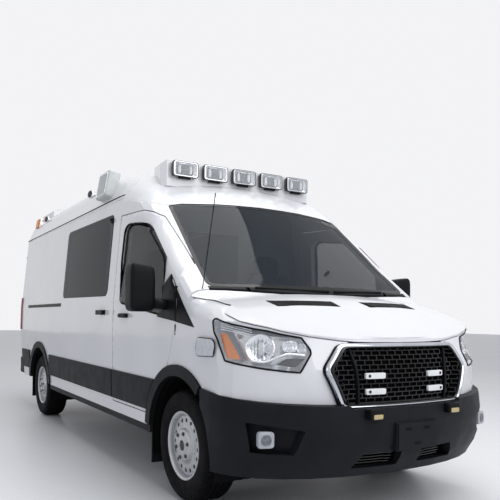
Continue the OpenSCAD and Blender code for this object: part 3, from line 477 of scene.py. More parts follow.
def pressed_panel(node, coat, longest=0.05, crease=28.0, rounds=24):
    """A smooth-shaded copy that stands for a node."""
    mesh = fine_copy(node, longest)
    mesh.shade_smooth()
    mesh.normals_split_custom_set(evened_normals(mesh, math.radians(crease), rounds).tolist())
    return add_object(node + "_skin", mesh, coat, body_of(node), instead_of=[node])


painted = ["side_left", "side_right", "roof", "roof_caps", "wings", "fascia", "hood", "front_door_left",
           "front_door_right", "rear_door_left", "rear_door_right", "sliding_door"]
for node in painted:
    pressed_panel(node, paint)

# %% [markdown]
# The bumpers, the cladding along the sides and the door trims are dark grained mouldings. They get the
# same treatment with fewer rounds, because their edges are meant to be seen.

# %% The dark mouldings
mouldings = ["front_bumper", "rear_bumper", "cladding", "door_trim_left", "door_trim_right"]
for node in mouldings:
    pressed_panel(node, trim, 0.06, 30.0, 12)
print("mouldings smoothed:", len(mouldings))

# %% [markdown]
# The rest of the solids keep their own meshes and only need a finish. The table gives each node its
# finish; what is rebuilt further on is hidden then.

# %% Finishes on the nodes that stay
wearing = {
    paint: painted,
    trim: mouldings,
    chrome: ["grille_surround"],
    black: ["cowl", "hood_fittings", "mirror_left", "mirror_right", "rear_fittings_left",
            "rear_fittings_right", "hinge_pins", "sliding_hardware", "grille", "dashboard", "steering_wheel"],
    clear_lens: ["headlamps", "front_lamps", "roof_lights"],
    red_lens: ["tail_lamps"],
    screen_glass: ["windscreen"],
    side_glass: ["front_glass_left", "front_glass_right"],
    dark_glass: ["rear_glass_left", "rear_glass_right", "sliding_glass"],
    board: ["interior"],
    lino: ["floor_panel"],
    cloth: ["seats"],
    rubber: [n for n in nodes if n.startswith("tyre_")],
    wheel_silver: [n for n in nodes if n.startswith("rim_")],
    steel: ["knuckle_left", "knuckle_right", "chassis", "rear_axle", "underbody", "engine"],
}
for coat, members in wearing.items():
    for node in members:
        nodes[node].data.materials.clear()
        nodes[node].data.materials.append(coat)
print("nodes without a finish:", [n for n in nodes if n not in sum(wearing.values(), [])])

# %% [markdown]
# A showroom floor and soft light. A pale floor with a little polish keeps the shadow and a faint
# reflection. The world is an even white for everything the camera, a mirror or glass sees, and a
# plain soft light for the rest. A wide panel overhead models the roof and the hood, and two weaker
# ones light the front and the side.

# %% Floor, world and lamps
FLOOR_REACH, SKY_LIGHT = 45.0, 0.42


def pale_floor():
    """A level square, its cells growing outwards: each coordinate is an odd power of a parameter."""
    t = np.linspace(-1.0, 1.0, 33)
    reach = FLOOR_REACH * np.sign(t) * np.abs(t) ** 2.2
    x, y = np.meshgrid(reach, reach, indexing="ij")
    return shell(np.stack([x, y, np.zeros_like(x)], -1))


points, faces = pale_floor()
floor_mesh = bpy.data.meshes.new("floor")
floor_mesh.from_pydata(points.tolist(), [], faces.tolist())
floor_finish = finish("pale_floor", (236, 237, 239), (231, 232, 235), (0.36, 0.44), 0.25)
floor_mesh.materials.append(floor_finish)
floor = bpy.data.objects.new("floor", floor_mesh)
bpy.context.scene.collection.objects.link(floor)

world = bpy.data.worlds.new("studio")
bpy.context.scene.world = world
world.use_nodes = True
air = world.node_tree
air.nodes.clear()
path = put(air, "ShaderNodeLightPath")
seen = put(air, "ShaderNodeMath", [(0, path.outputs["Is Camera Ray"]), (1, path.outputs["Is Glossy Ray"])],
           operation="MAXIMUM")
seen = put(air, "ShaderNodeMath", [(0, seen.outputs[0]), (1, path.outputs["Is Transmission Ray"])],
           operation="MAXIMUM")
lit = put(air, "ShaderNodeBackground", [("Color", colour(236, 240, 248)), ("Strength", SKY_LIGHT)])
shown = put(air, "ShaderNodeBackground", [("Color", colour(243, 243, 245)), ("Strength", 1.0)])
mixed = put(air, "ShaderNodeMixShader", [(0, seen.outputs[0]), (1, lit.outputs[0]), (2, shown.outputs[0])])
put(air, "ShaderNodeOutputWorld", [("Surface", mixed.outputs[0])])


def soft_panel(name, spot, aim, width, height, watts):
    """A rectangular lamp that faces its aim."""
    lamp = bpy.data.lights.new(name, "AREA")
    lamp.shape, lamp.size, lamp.size_y, lamp.energy = "RECTANGLE", width, height, watts
    holder = bpy.data.objects.new(name, lamp)
    bpy.context.scene.collection.objects.link(holder)
    away = np.array(spot, float) - np.array(aim, float)
    away /= np.linalg.norm(away)
    side = np.cross([0.0, 1.0, 0.0] if abs(away[2]) > 0.9 else [0.0, 0.0, 1.0], away)
    side /= np.linalg.norm(side)
    place = np.eye(4)
    place[:3, :3] = np.stack([side, np.cross(away, side), away], 1)
    place[:3, 3] = spot
    holder.matrix_world = Matrix(place.tolist())
    return holder


soft_panel("overhead", (2.6, 0.4, 7.0), (0.8, 0.0, 0.8), 9.0, 5.0, 390.0)
soft_panel("front", (8.5, 1.5, 4.2), (1.8, 0.0, 1.0), 5.0, 3.5, 130.0)
soft_panel("side", (1.0, -8.5, 3.6), (0.0, 0.0, 1.1), 8.0, 3.0, 60.0)
bpy.context.scene.view_settings.view_transform = "Standard"

# %% [markdown]
# Three more ways of making a surface serve most of the fittings. A profile carried along a path makes
# seals, frames, ribs, arms and pipes. A profile spun round an axis makes bowls, nuts and tyres. A
# pillow, which is a ball whose circles are pulled towards squares, makes moulded housings.

# %% Helpers for paths, spins and pillows
def carry(path, profile, hint, closed=False):
    """A flat profile carried along a path. At each point the first profile axis leans towards the
    hint, square to the path, and the second is square to both."""
    path, profile = np.asarray(path, float), np.asarray(profile, float)
    if closed:
        ahead = np.roll(path, -1, 0) - np.roll(path, 1, 0)
    else:
        ahead = np.gradient(path, axis=0)
    ahead /= np.linalg.norm(ahead, axis=1, keepdims=True)
    lean = np.broadcast_to(np.asarray(hint, float), path.shape)
    lean = lean - (lean * ahead).sum(1, keepdims=True) * ahead
    lean = lean / np.linalg.norm(lean, axis=1, keepdims=True)
    beside = np.cross(ahead, lean)
    points = path[:, None] + profile[None, :, :1] * lean[:, None] + profile[None, :, 1:] * beside[:, None]
    return shell(points, wrap_rows=closed, wrap_columns=True, cap=not closed)


def spin(profile, centre, axis, steps=48, cap=True):
    """A profile of (radius, height) pairs turned round an axis: the ring of each pair is its radius
    times cosine and sine, raised by its height along the axis."""
    profile = np.asarray(profile, float)
    axis = np.asarray(axis, float) / np.linalg.norm(axis)
    side = np.cross(axis, [0.0, 0.0, 1.0] if abs(axis[2]) < 0.9 else [1.0, 0.0, 0.0])
    side /= np.linalg.norm(side)
    other = np.cross(axis, side)
    angle = np.linspace(0.0, 2 * np.pi, steps, endpoint=False)[None, :, None]
    ring = np.cos(angle) * side + np.sin(angle) * other
    points = np.asarray(centre, float) + profile[:, :1, None] * ring + profile[:, 1:, None] * axis
    return shell(points, wrap_columns=True, cap=cap)


def signed_power(value, power):
    """The size of a value raised to a power, with the value's sign kept."""
    return np.sign(value) * np.abs(value) ** power


def pillow(centre, half, square=0.35, rows=20, columns=32):
    """A ball with squared-off circles: signed powers of cosine and sine of two angles, times the
    half sizes; the power 1 gives an ellipsoid and a small power nearly a box."""
    u = np.linspace(-np.pi / 2, np.pi / 2, rows)[:, None]
    v = np.linspace(0.0, 2 * np.pi, columns, endpoint=False)[None, :]
    round_u, round_v = signed_power(np.cos(u), square), signed_power(np.cos(v), square)
    unit = np.stack([round_u * round_v, round_u * signed_power(np.sin(v), square),
                     signed_power(np.sin(u), square) + 0 * v], -1)
    return shell(np.asarray(centre, float) + unit * np.asarray(half, float), wrap_columns=True)


def lying_pillow(centre, along_axis, out, half, square=0.3):
    """A pillow turned so that its first axis points out and its second runs along the given one."""
    points, faces = pillow((0.0, 0.0, 0.0), half, square)
    along_axis = np.asarray(along_axis, float) / np.linalg.norm(along_axis)
    out = np.asarray(out, float) - np.dot(out, along_axis) * along_axis
    out /= np.linalg.norm(out)
    basis = np.stack([out, along_axis, np.cross(out, along_axis)])
    return np.asarray(centre) + points @ basis, faces


def rounded(corners, radius, steps=6):
    """A closed outline with each corner swapped for a curve: a quadratic blend between points a
    radius before and after the corner."""
    corners = np.asarray(corners, float)
    before, after = np.roll(corners, 1, 0) - corners, np.roll(corners, -1, 0) - corners
    lengths = [np.linalg.norm(d, axis=1, keepdims=True) for d in (before, after)]
    start = corners + before / lengths[0] * np.minimum(radius, lengths[0] * 0.45)
    end = corners + after / lengths[1] * np.minimum(radius, lengths[1] * 0.45)
    t = np.linspace(0.0, 1.0, steps)[None, :, None]
    bend = (1 - t) ** 2 * start[:, None] + 2 * t * (1 - t) * corners[:, None] + t ** 2 * end[:, None]
    return bend.reshape(-1, corners.shape[1])


def along(path, spacing, closed=False):
    """The same line with points at an even spacing: each coordinate is read off against the length."""
    path = np.asarray(path, float)
    if closed:
        path = np.concatenate([path, path[:1]])
    run = np.concatenate([[0.0], np.cumsum(np.linalg.norm(np.diff(path, axis=0), axis=1))])
    count = max(int(run[-1] / spacing), 2)
    marks = np.linspace(0.0, run[-1], count + 1)[: count if closed else None]
    return np.stack([np.interp(marks, run, path[:, k]) for k in range(path.shape[1])], 1)


def round_profile(radius, steps=10):
    """A circle of points for a pipe or bead."""
    a = np.linspace(0.0, 2 * np.pi, steps, endpoint=False)
    return np.stack([np.cos(a), np.sin(a)], 1) * radius


print("helpers: carry, spin, pillow, lying_pillow, rounded, along, round_profile")

# %% [markdown]
# Tyres. A light-truck tyre has a ribbed tread with cross slots, a rounded shoulder with bars, and a
# bulged sidewall with two fine raised rings. The surface is a grid: one parameter goes round the
# wheel and the other across the section. The tread is cut by lowering the radius where a groove
# runs, so one formula gives blocks, grooves and shoulder bars.

# %% The tyres
HALF_TRACK, WHEELBASE = 0.866, 3.75
ENDS = (("front", AXLE), ("rear", AXLE - WHEELBASE))
WHEELS = {end + "_" + hand: (x, side * HALF_TRACK) for end, x in ENDS for side, hand in HANDS}
WHEEL_Z, TYRE_HALF = 0.356, 0.1175
GROOVES, SLOT_COUNT, BAR_COUNT = np.array([0.022, 0.062]), 64, 120


def tyre(x, y, steps=384):
    """Radius and width of the section follow a smooth outline. Across the tread the radius drops in
    four rings, and in slots that lean to and fro round the wheel; the sidewall has raised rings."""
    outline = np.array([[0.2085, -0.090], [0.216, -0.101], [0.232, -0.109], [0.262, -0.1155],
                        [0.292, -0.1175], [0.316, -0.1155], [0.333, -0.109], [0.345, -0.098],
                        [0.3515, -0.086], [0.3545, -0.070], [0.356, -0.040], [0.356, 0.0]])
    outline = np.concatenate([outline, outline[-2::-1] * [1, -1]])
    dense = along(outline, 0.0042)
    radius, width = dense[:, 0], dense[:, 1]
    turn = np.linspace(0.0, 2 * np.pi, steps, endpoint=False)[:, None]
    tread = np.clip((0.104 - np.abs(width)) / 0.006, 0.0, 1.0) * (radius > 0.335)
    rings = np.min(np.abs(np.abs(width)[None, :] - GROOVES[:, None]), 0) < 0.0042
    inner = np.where(np.abs(width) > GROOVES[0], 30.0 * np.sign(width), 60.0)
    lean = np.where(np.abs(width) > GROOVES[1], 0.0, inner) * width
    slots = np.mod(turn * SLOT_COUNT / (2 * np.pi) + lean[None, :] + (width > 0)[None, :] * 0.5, 1.0) < 0.2
    deep = np.where(rings[None, :], 0.008, np.where(slots, 0.0055, 0.0)) * tread[None, :]
    fine_rings = (np.abs(radius - 0.318) < 0.003) | (np.abs(radius - 0.246) < 0.003)
    raised = 0.0014 * fine_rings * (np.abs(width) > 0.1)
    shoulder = (np.abs(radius - 0.328) < 0.008) & (np.abs(width) > 0.1)
    bars = 0.0012 * (np.mod(turn * BAR_COUNT / (2 * np.pi), 1.0) < 0.4) * shoulder[None, :]
    r = radius[None, :] - deep
    room = TYRE_HALF + 0.001 - np.abs(width)[None, :]
    w = width[None, :] + np.sign(width)[None, :] * np.minimum(raised[None, :] + bars, room)
    return shell(np.stack([x + r * np.cos(turn), y + w, WHEEL_Z + r * np.sin(turn)], -1), wrap_rows=True,
                 wrap_columns=True)


for place_name, (x, y) in WHEELS.items():
    add_piece("tread_" + place_name, tyre(x, y), rubber, "wheel_" + place_name, "tyre_rubber",
              ["tyre_" + place_name])

# %% [markdown]
# Steel wheels. A pressed disc is welded into a rolled rim. Round holes near its edge cool the brakes,
# and the middle is pressed outwards to a flat hat that takes the nuts round the hub. The rim and the
# hat are spun. The ring with the holes is made of equal cells: in each cell one parameter goes round
# the hole and the other from the hole's edge to the border, so neighbours share their border points.

# %% The wheels
HOLES, HOLE_RING, HOLE_R, NUTS, NUT_RING = 16, 0.160, 0.0140, 6, 0.080
DISC_IN, DISC_OUT = 0.122, 0.1985
RIM = [[0.2197, 0.096], [0.2202, 0.101], [0.2178, 0.1062], [0.2117, 0.1066], [0.2040, 0.103],
       [0.1997, 0.096], [0.1985, 0.086], [0.1985, 0.030], [0.1737, 0.012], [0.1737, -0.040],
       [0.1987, -0.060], [0.1997, -0.098], [0.2117, -0.106]]


def disc_rise(radius):
    """How far the pressed disc stands out from the middle plane of the wheel at a radius."""
    return np.interp(radius, [0.034, 0.040, 0.090, 0.100, 0.106, 0.113, 0.124, 0.150, 0.190, 0.1985],
                     [0.111, 0.113, 0.110, 0.106, 0.096, 0.084, 0.080, 0.082, 0.078, 0.072])


def holed_ring(x, y, out):
    """Cells of a ring, each with a round hole whose edge is turned inwards."""
    t = np.linspace(0.0, 2 * np.pi, 32, endpoint=False)[None, :]
    s = np.array([0.0, 0.0, 0.0, 0.1, 0.35, 0.65, 1.0])[:, None]
    sink = np.array([0.012, 0.004, 0.001, 0.0, 0.0, 0.0, 0.0])[:, None]
    stretch = 1.0 / np.maximum(np.abs(np.cos(t)), np.abs(np.sin(t)))
    middle, half = (DISC_IN + DISC_OUT) / 2, (DISC_OUT - DISC_IN) / 2
    angle = (1 - s) * HOLE_R * np.cos(t) / HOLE_RING + s * np.pi / HOLES * stretch * np.cos(t)
    radius = (1 - s) * (HOLE_RING + HOLE_R * np.sin(t)) + s * (middle + half * stretch * np.sin(t))
    rise = out * (disc_rise(radius) - sink)
    turns = [angle + 2 * np.pi * k / HOLES for k in range(HOLES)]
    return join([shell(np.stack([x + radius * np.cos(a), y + rise, WHEEL_Z + radius * np.sin(a)], -1),
                       wrap_columns=True) for a in turns])


def lug_nut(x, y, z, out):
    """Six flats from 0 to 60 degrees each, carried up and drawn in to a rounded tip."""
    angle = np.arange(6) * np.pi / 3
    reach = np.array([0.0145, 0.0145, 0.0115, 0.0112, 0.0098, 0.0066, 0.0028])
    rise = np.array([-0.002, 0.001, 0.002, 0.006, 0.0085, 0.010, 0.0105])
    ring = np.stack([np.cos(angle), np.zeros(6), np.sin(angle)], -1)
    points = np.array([x, y, z]) + reach[:, None, None] * ring[None] + (rise * out)[:, None, None] * Y_AXIS
    return shell(points, wrap_columns=True, cap=True)


for place_name, (x, y) in WHEELS.items():
    body, out = "wheel_" + place_name, math.copysign(1.0, y)
    hub, axis = np.array([x, y, WHEEL_Z]), (0.0, out, 0.0)
    hat = np.concatenate([[0.033, 0.034], np.linspace(0.036, DISC_IN, 40)])
    hat = np.stack([hat, np.concatenate([[0.080], disc_rise(hat[1:])])], 1)
    pressed = join([spin(RIM, hub, axis, 96, False), spin(hat, hub, axis, 96, False),
                    holed_ring(x, y, out)])
    add_piece("rim_disc_" + place_name, pressed, wheel_silver, body, instead_of=["rim_" + place_name])
    spots = (np.arange(NUTS) + 0.25) * 2 * np.pi / NUTS
    nut_y = y + out * disc_rise(NUT_RING)
    nuts = [lug_nut(x + NUT_RING * math.cos(a), nut_y, WHEEL_Z + NUT_RING * math.sin(a), out)
            for a in spots]
    cap = spin([[0.033, 0.070], [0.033, 0.094], [0.030, 0.100], [0.020, 0.104], [0.006, 0.105]], hub, axis)
    add_piece("nuts_" + place_name, join(nuts + [cap]), steel, body)
    # A brake drum behind the disc. The part is real, but it wears the near-black rubber finish instead of
    # steel as painted shade, so that the cooling holes read dark.
    drum_painted_shade = spin([[0.060, -0.010], [0.165, -0.010], [0.170, 0.030], [0.166, 0.044], [0.120, 0.048],
                 [0.060, 0.048]], hub, axis, 64)
    add_piece("drum_" + place_name, drum_painted_shade, rubber, body, "dark_steel")
    stem = hub + np.array([[0.186, out * 0.060, 0.0], [0.188, out * 0.082, 0.0], [0.188, out * 0.098, 0.0]])
    valve = carry(stem, round_profile(0.0042), X_AXIS)
    add_piece("valve_" + place_name, valve, black, body)
print("wheels dressed:", len(WHEELS))

# %% [markdown]
# Many fittings lie on the body: seals, lamp frames, corner panels. To lay them there, a
# line parallel to one axis is dropped through each point onto the triangles of a solid. In the plane
# across that axis, a point is inside a triangle if its two edge weights and their rest are not
# negative, and the same weights give the height. All pairs are tested at once as arrays.

# %% Helpers for laying pieces on the solids
def triangles(*members):
    """Corner points of the triangles of some nodes, as one array."""
    sets = []
    for node in members:
        mesh = nodes[node].data
        corner = read(mesh.loops, "vertex_index", 1, np.int64)
        sets.append(read(mesh.vertices, "co", 3)[corner].reshape(-1, 3, 3))
    return np.concatenate(sets)


def face_normals(faces):
    """The unit normal of each triangle: the cross product of two edges over its own length."""
    normal = np.cross(faces[:, 1] - faces[:, 0], faces[:, 2] - faces[:, 0])
    return normal / np.maximum(np.linalg.norm(normal, axis=1, keepdims=True), 1e-15)


def touch(points, faces, axis, side):
    """The outermost height along an axis, seen from the plus or minus side, at which a line through
    each point meets the triangles."""
    across = [k for k in range(3) if k != axis]
    a, b, c = faces[:, 0], faces[:, 1], faces[:, 2]
    e, f = (b - a)[:, across], (c - a)[:, across]
    area = e[:, 0] * f[:, 1] - e[:, 1] * f[:, 0]
    area = np.where(np.abs(area) < 1e-12, np.inf, area)
    gap = points[:, None][:, :, across] - a[None][:, :, across]
    u = (gap[..., 0] * f[:, 1] - gap[..., 1] * f[:, 0]) / area
    v = (e[:, 0] * gap[..., 1] - e[:, 1] * gap[..., 0]) / area
    inside = (u > -1e-6) & (v > -1e-6) & (u + v < 1 + 1e-6) & np.isfinite(area)
    height = a[:, axis] + u * (b - a)[:, axis] + v * (c - a)[:, axis]
    best = np.where(inside, side * height, -np.inf).max(1)
    known = np.isfinite(best)
    best = np.where(known, best, np.median(best[known]))
    return side * best


def at(x, y, z):
    """A place measured from the front axle, in metres."""
    return np.array([AXLE + x, y, z])


def lay(outline, faces, axis, side, lift=0.0):
    """A flat outline put on the solids: the two given coordinates stay and the third is found."""
    outline = np.asarray(outline, float)
    points = np.insert(outline, axis, 0.0, axis=1)
    if axis != 0:
        points[:, 0] += AXLE
    points[:, axis] = touch(points, faces, axis, side) + side * lift
    return points


def patch(outline, faces, axis, side, proud, sunk=0.002, rings=8):
    """A plate with rounded edges: the outline drawn in to its middle ring by ring, each ring laid on
    the solids, level to near the edge and then dropping below the surface."""
    outline = np.asarray(outline, float)
    middle = outline.mean(0)
    s = np.concatenate([np.linspace(0.02, 0.96, rings), [0.985, 1.0, 1.0]])
    rise = np.concatenate([np.full(rings, proud), [proud * 0.85, proud * 0.3, -sunk]])
    flat = middle + s[:, None, None] * (outline - middle)
    laid = lay(flat.reshape(-1, 2), faces, axis, side).reshape(len(s), -1, 3)
    laid[..., axis] += side * rise[:, None]
    return shell(laid, wrap_columns=True, cap=True)


def bead(outline, faces, axis, side, radius, lift=0.0, spacing=0.02, span=0):
    """A round cord along a closed outline laid on the solids. With a span, its height is the running
    median over that many points to either side."""
    ring = lay(along(outline, spacing, True), faces, axis, side, lift)
    if span:
        ring[:, axis] = np.median([np.roll(ring[:, axis], k) for k in range(-span, span + 1)], 0)
    hint = np.zeros(3)
    hint[axis] = side
    return carry(ring, round_profile(radius), hint, closed=True)


def box_outline(x0, x1, z0, z1, radius):
    """A rounded rectangle."""
    return rounded([[x0, z0], [x1, z0], [x1, z1], [x0, z1]], radius)


print("helpers: triangles, face_normals, touch, at, lay, patch, bead, box_outline")

# %% [markdown]
# Window panes. Each pane is a fine copy of its solid with two things added: smooth shading, and for
# every point the distance to the pane's edge, which the glass finish reads for its printed band. The
# edge is where two faces meet at a steep angle.

# %% Panes with their rim distance
STEEP = 0.6


def pane(node, coat, longest=0.022):
    """A smooth pane whose points know how far they are from the nearest steep edge."""
    piece = pressed_panel(node, coat, longest)
    mesh = piece.data
    points, normal = read(mesh.vertices, "co", 3), read(mesh.polygons, "normal", 3)
    ends = read(mesh.edges, "vertices", 2, np.int64)
    edge, a, b = edge_sides(mesh)
    steep = ends[edge[(normal[a] * normal[b]).sum(1) < STEEP]]
    t = np.linspace(0.0, 1.0, 4)[:, None, None]
    marks = (points[steep[:, 0]] * (1 - t) + points[steep[:, 1]] * t).reshape(-1, 3)
    chunks = np.array_split(points, max(len(points) // 300, 1))
    far = np.concatenate([np.sqrt(((c[:, None] - marks[None]) ** 2).sum(2).min(1)) for c in chunks])
    mesh.attributes.new("rim", "FLOAT", "POINT").data.foreach_set("value", far)
    return piece


for node, glazed in (("windscreen", screen_glass), ("front_glass_left", side_glass),
                     ("front_glass_right", side_glass), ("rear_glass_left", dark_glass),
                     ("rear_glass_right", dark_glass)):
    pane(node, glazed)

# %% [markdown]
# Headlamps. A lamp unit is a housing under a clear cover that is flush with the hood. Behind the
# cover sit a round bowl with a lens, a fluted inner reflector, an amber turn lamp in the outer
# corner and a dark block low inside, parted by a bright S-shaped rail. The solid's faces are split:
# those that face outwards in both x and y are the cover, the others line the housing.

# %% Headlamp shells
def loose_faces(node, choose):
    """Points and faces of those triangles of a node whose normals and middles pass a test."""
    faces = triangles(node)
    kept = faces[choose(face_normals(faces), faces.mean(1))]
    numbers = np.arange(len(kept) * 3).reshape(-1, 3)
    return kept.reshape(-1, 3), np.concatenate([numbers, numbers[:, 2:]], 1)


def is_cover(normal, middle):
    """True where a face looks forwards and to its own side of the vehicle."""
    outward = normal[:, 1] * np.sign(middle[:, 1])
    return (normal[:, 0] > 0.02) & (outward > 0.02) & (normal[:, 0] + outward > 0.25)


lamp_silver = finish("lamp_silver", (238, 240, 243), (222, 225, 230), (0.12, 0.22), 25.0, Metallic=0.55,
                     slot="chrome_trim")
cover = add_piece("lamp_covers", loose_faces("headlamps", is_cover), clear_lens, instead_of=["headlamps"])
lining = add_piece("lamp_linings", loose_faces("headlamps", lambda n, m: ~is_cover(n, m)), lamp_silver)
lamp_faces = triangles("headlamps")
lamp_faces = lamp_faces[lamp_faces[:, :, 1].max(1) < 0.0]
print("cover and lining faces:", len(cover.data.polygons), len(lining.data.polygons))

# %% [markdown]
# The insides are spun or laid just behind the cover. A bowl is a ring spun round an axis that leans as
# the cover does, with a dish inside it whose depth has flutes. The inner reflectors are smaller dishes
# of the same kind. Each is made for the right lamp and mirrored for the left one.

# %% Headlamp insides
LEAN = np.array([0.80, -0.57, 0.16])
LEAN /= np.linalg.norm(LEAN)


def dome(centre, radius, height, axis):
    """A lens that bulges: a quarter of an ellipse spun round its axis."""
    t = np.linspace(0.0, np.pi / 2 - 0.05, 10)
    return spin(np.stack([radius * np.cos(t), height * np.sin(t)], 1), centre, axis, 40)


def fluted_dish(centre, across, up, axis, width, height, depth, flutes=9, square=0.5):
    """A pocket: superellipse rings shrink to the middle and sink, with a cosine ripple across."""
    s = np.linspace(1.0, 0.05, 12)[:, None]
    a = np.linspace(0.0, 2 * np.pi, 64, endpoint=False)[None, :]
    x, z = width * s * signed_power(np.cos(a), square), height * s * signed_power(np.sin(a), square)
    sink = -depth * (1 - s ** 2) + 0.004 * (1 - s ** 4) * np.cos(x / width * flutes * np.pi)
    points = np.asarray(centre) + x[..., None] * across + z[..., None] * up + sink[..., None] * axis
    return shell(points, wrap_columns=True)


def both_lamps(name, made, coat):
    """One piece for the right lamp and its mirror image."""
    add_piece(name, join([made, mirrored(made)]), coat)


def behind_cover(outline, depth):
    """A plate of (y, z) corners laid on the cover and sunk behind it."""
    return patch(outline, lamp_faces, 0, 1.0, -depth, depth + 0.006)


over = Z_AXIS - LEAN[2] * LEAN
over /= np.linalg.norm(over)
beside = np.cross(over, LEAN)
bowl_spot = at(0.694, -0.850, 1.014) - 0.020 * LEAN
ring = spin([[0.074, -0.010], [0.081, -0.008], [0.081, 0.003], [0.077, 0.005], [0.073, 0.002]], bowl_spot,
            LEAN, 64, False)
both_lamps("lamp_bowls",
           join([ring, fluted_dish(bowl_spot, beside, over, LEAN, 0.074, 0.074, 0.030, 8, 1.0)]), bowl)
bulb_spot = bowl_spot + 0.006 * beside - 0.012 * LEAN
both_lamps("lamp_bulb_caps", lying_pillow(bulb_spot, over, LEAN, (0.014, 0.040, 0.018), 0.5), satin)
second = bowl_spot + 0.046 * beside + 0.002 * over - 0.006 * LEAN
both_lamps("lamp_projectors", dome(second, 0.024, 0.012, LEAN), ribbed_lens)
holder = spin([[0.024, -0.02], [0.029, -0.014], [0.029, 0.002], [0.024, 0.004]], second, LEAN)
both_lamps("lamp_projector_rings", holder, bowl)
inner = [fluted_dish(at(*spot) - 0.012 * LEAN, beside, over, LEAN, *size) for spot, size in (
    ((0.783, -0.715, 1.026), (0.040, 0.030, 0.026, 5)), ((0.808, -0.652, 1.014), (0.026, 0.028, 0.022, 3)))]
both_lamps("lamp_inner_dishes", join(inner), bowl)
turn_line = rounded([[-0.994, 1.090], [-0.977, 1.092], [-0.938, 0.950], [-0.982, 0.952]], 0.006)
both_lamps("turn_lamps", behind_cover(turn_line, 0.004), amber_lens)
block_line = rounded([[-0.794, 0.925], [-0.737, 0.959], [-0.645, 0.959], [-0.705, 0.912]], 0.008)
both_lamps("lamp_low_blocks", behind_cover(block_line, 0.003), gloss_black)
rail = along([[-0.895, 0.945], [-0.850, 0.938], [-0.819, 0.946], [-0.780, 0.966], [-0.733, 0.983],
              [-0.690, 0.982], [-0.640, 0.976]], 0.008)
both_lamps("lamp_rails", carry(lay(rail, lamp_faces, 0, 1.0, -0.008), round_profile(0.007), X_AXIS), bowl)
fin_lines = [along([[-0.990, 1.150 - d], [-0.880, 1.112 - d]], 0.01) for d in (0.0, 0.012, 0.024, 0.036)]
fins = [carry(lay(line, lamp_faces, 0, 1.0, -0.012), round_profile(0.003, 6), X_AXIS) for line in fin_lines]
both_lamps("lamp_fins", join(fins), bowl)

# %% [markdown]
# The dark line round each lamp is the seal between cover and body. It follows the free edge of the
# cover, so it is found by walking along the edges that have a face on one side only.

# %% Lamp seals
def free_edges(piece, side):
    """The closed rim of an open mesh on one side of the vehicle: its free edges chained in order."""
    mesh = piece.data
    used = np.bincount([l.edge_index for l in mesh.loops], minlength=len(mesh.edges))
    after = {}
    for edge in mesh.edges:
        if used[edge.index] == 1 and mesh.vertices[edge.vertices[0]].co.y * side > 0:
            a, b = edge.vertices
            for here, there in ((a, b), (b, a)):
                after.setdefault(here, []).append(there)
    start = next(iter(after))
    ring, last = [start], None
    while True:
        step = next((n for n in after[ring[-1]] if n != last), None)
        if step is None or step == start:
            return np.array([mesh.vertices[i].co for i in ring])
        last = ring[-1]
        ring.append(step)


seal_path = along(free_edges(cover, -1.0), 0.012, True)
both_lamps("lamp_seals", carry(seal_path, round_profile(0.0055, 8), (0.8, -0.6, 0.0), closed=True), black)
print("lamp seal points:", len(seal_path))

# %% [markdown]
# The grille. Behind a bright frame lies a black moulded mesh of staggered bricks, with two leaning
# ribs. The front of the solid gives the surface: a low polynomial in y and z is fitted to it by least
# squares, so the mesh can be finer than the solid and still bulge in the same way. A second fit, to
# the panel round it, carries the flange and the frame. Level strips run across, and short uprights
# join them, each row set off by half a brick.

# %% The grille mesh
GRILLE_LOW, GRILLE_TOP, ROW, BRICK = 0.712, 1.026, 0.0262, 0.058


def grille_terms(y, z):
    """The terms of the fitted surface: even in y, since the nose is the same on both sides."""
    return np.stack([np.ones_like(y), y ** 2, y ** 4, z, z ** 2, y ** 2 * z], -1)


def fitted_front(node, least, reach=np.inf, low=-np.inf, top=np.inf):
    """The weights of the terms, by least squares, for the faces of a node that look forwards."""
    faces = triangles(node)
    points = faces.reshape(-1, 3)[np.repeat(face_normals(faces)[:, 0] > least, 3)]
    points = points[(np.abs(points[:, 1]) < reach) & (points[:, 2] > low) & (points[:, 2] < top)]
    return np.linalg.lstsq(grille_terms(points[:, 1], points[:, 2]), points[:, 0], rcond=None)[0]


surface, nose = fitted_front("grille", 0.8), fitted_front("fascia", 0.6, 0.68, 0.66, 1.05)
FLANGE, SINK = 0.016, 0.24
WIDE_Z, MESH_HALF, HOLE_HALF = [0.688, 0.900, 1.040], [0.432, 0.522, 0.416], [0.405, 0.488, 0.392]


def grille_reach(z):
    """Half width of the mesh at a height: it widens to the middle corner and narrows again."""
    return np.interp(z, WIDE_Z, MESH_HALF)


def grille_front(y, z, back=0.0):
    """A point on the grille's front, or a distance behind it. Past the hole in the panel the mesh
    has a flange that lies on the panel's own fitted surface."""
    y, z = np.broadcast_arrays(np.asarray(y, float), np.asarray(z, float))
    hole = np.interp(z, WIDE_Z, HOLE_HALF)
    inside, beyond = grille_terms(y, z) @ surface - back, grille_terms(y, z) @ nose + FLANGE - SINK * back
    return np.stack([np.where(np.abs(y) < hole, inside, beyond), y, z], -1)


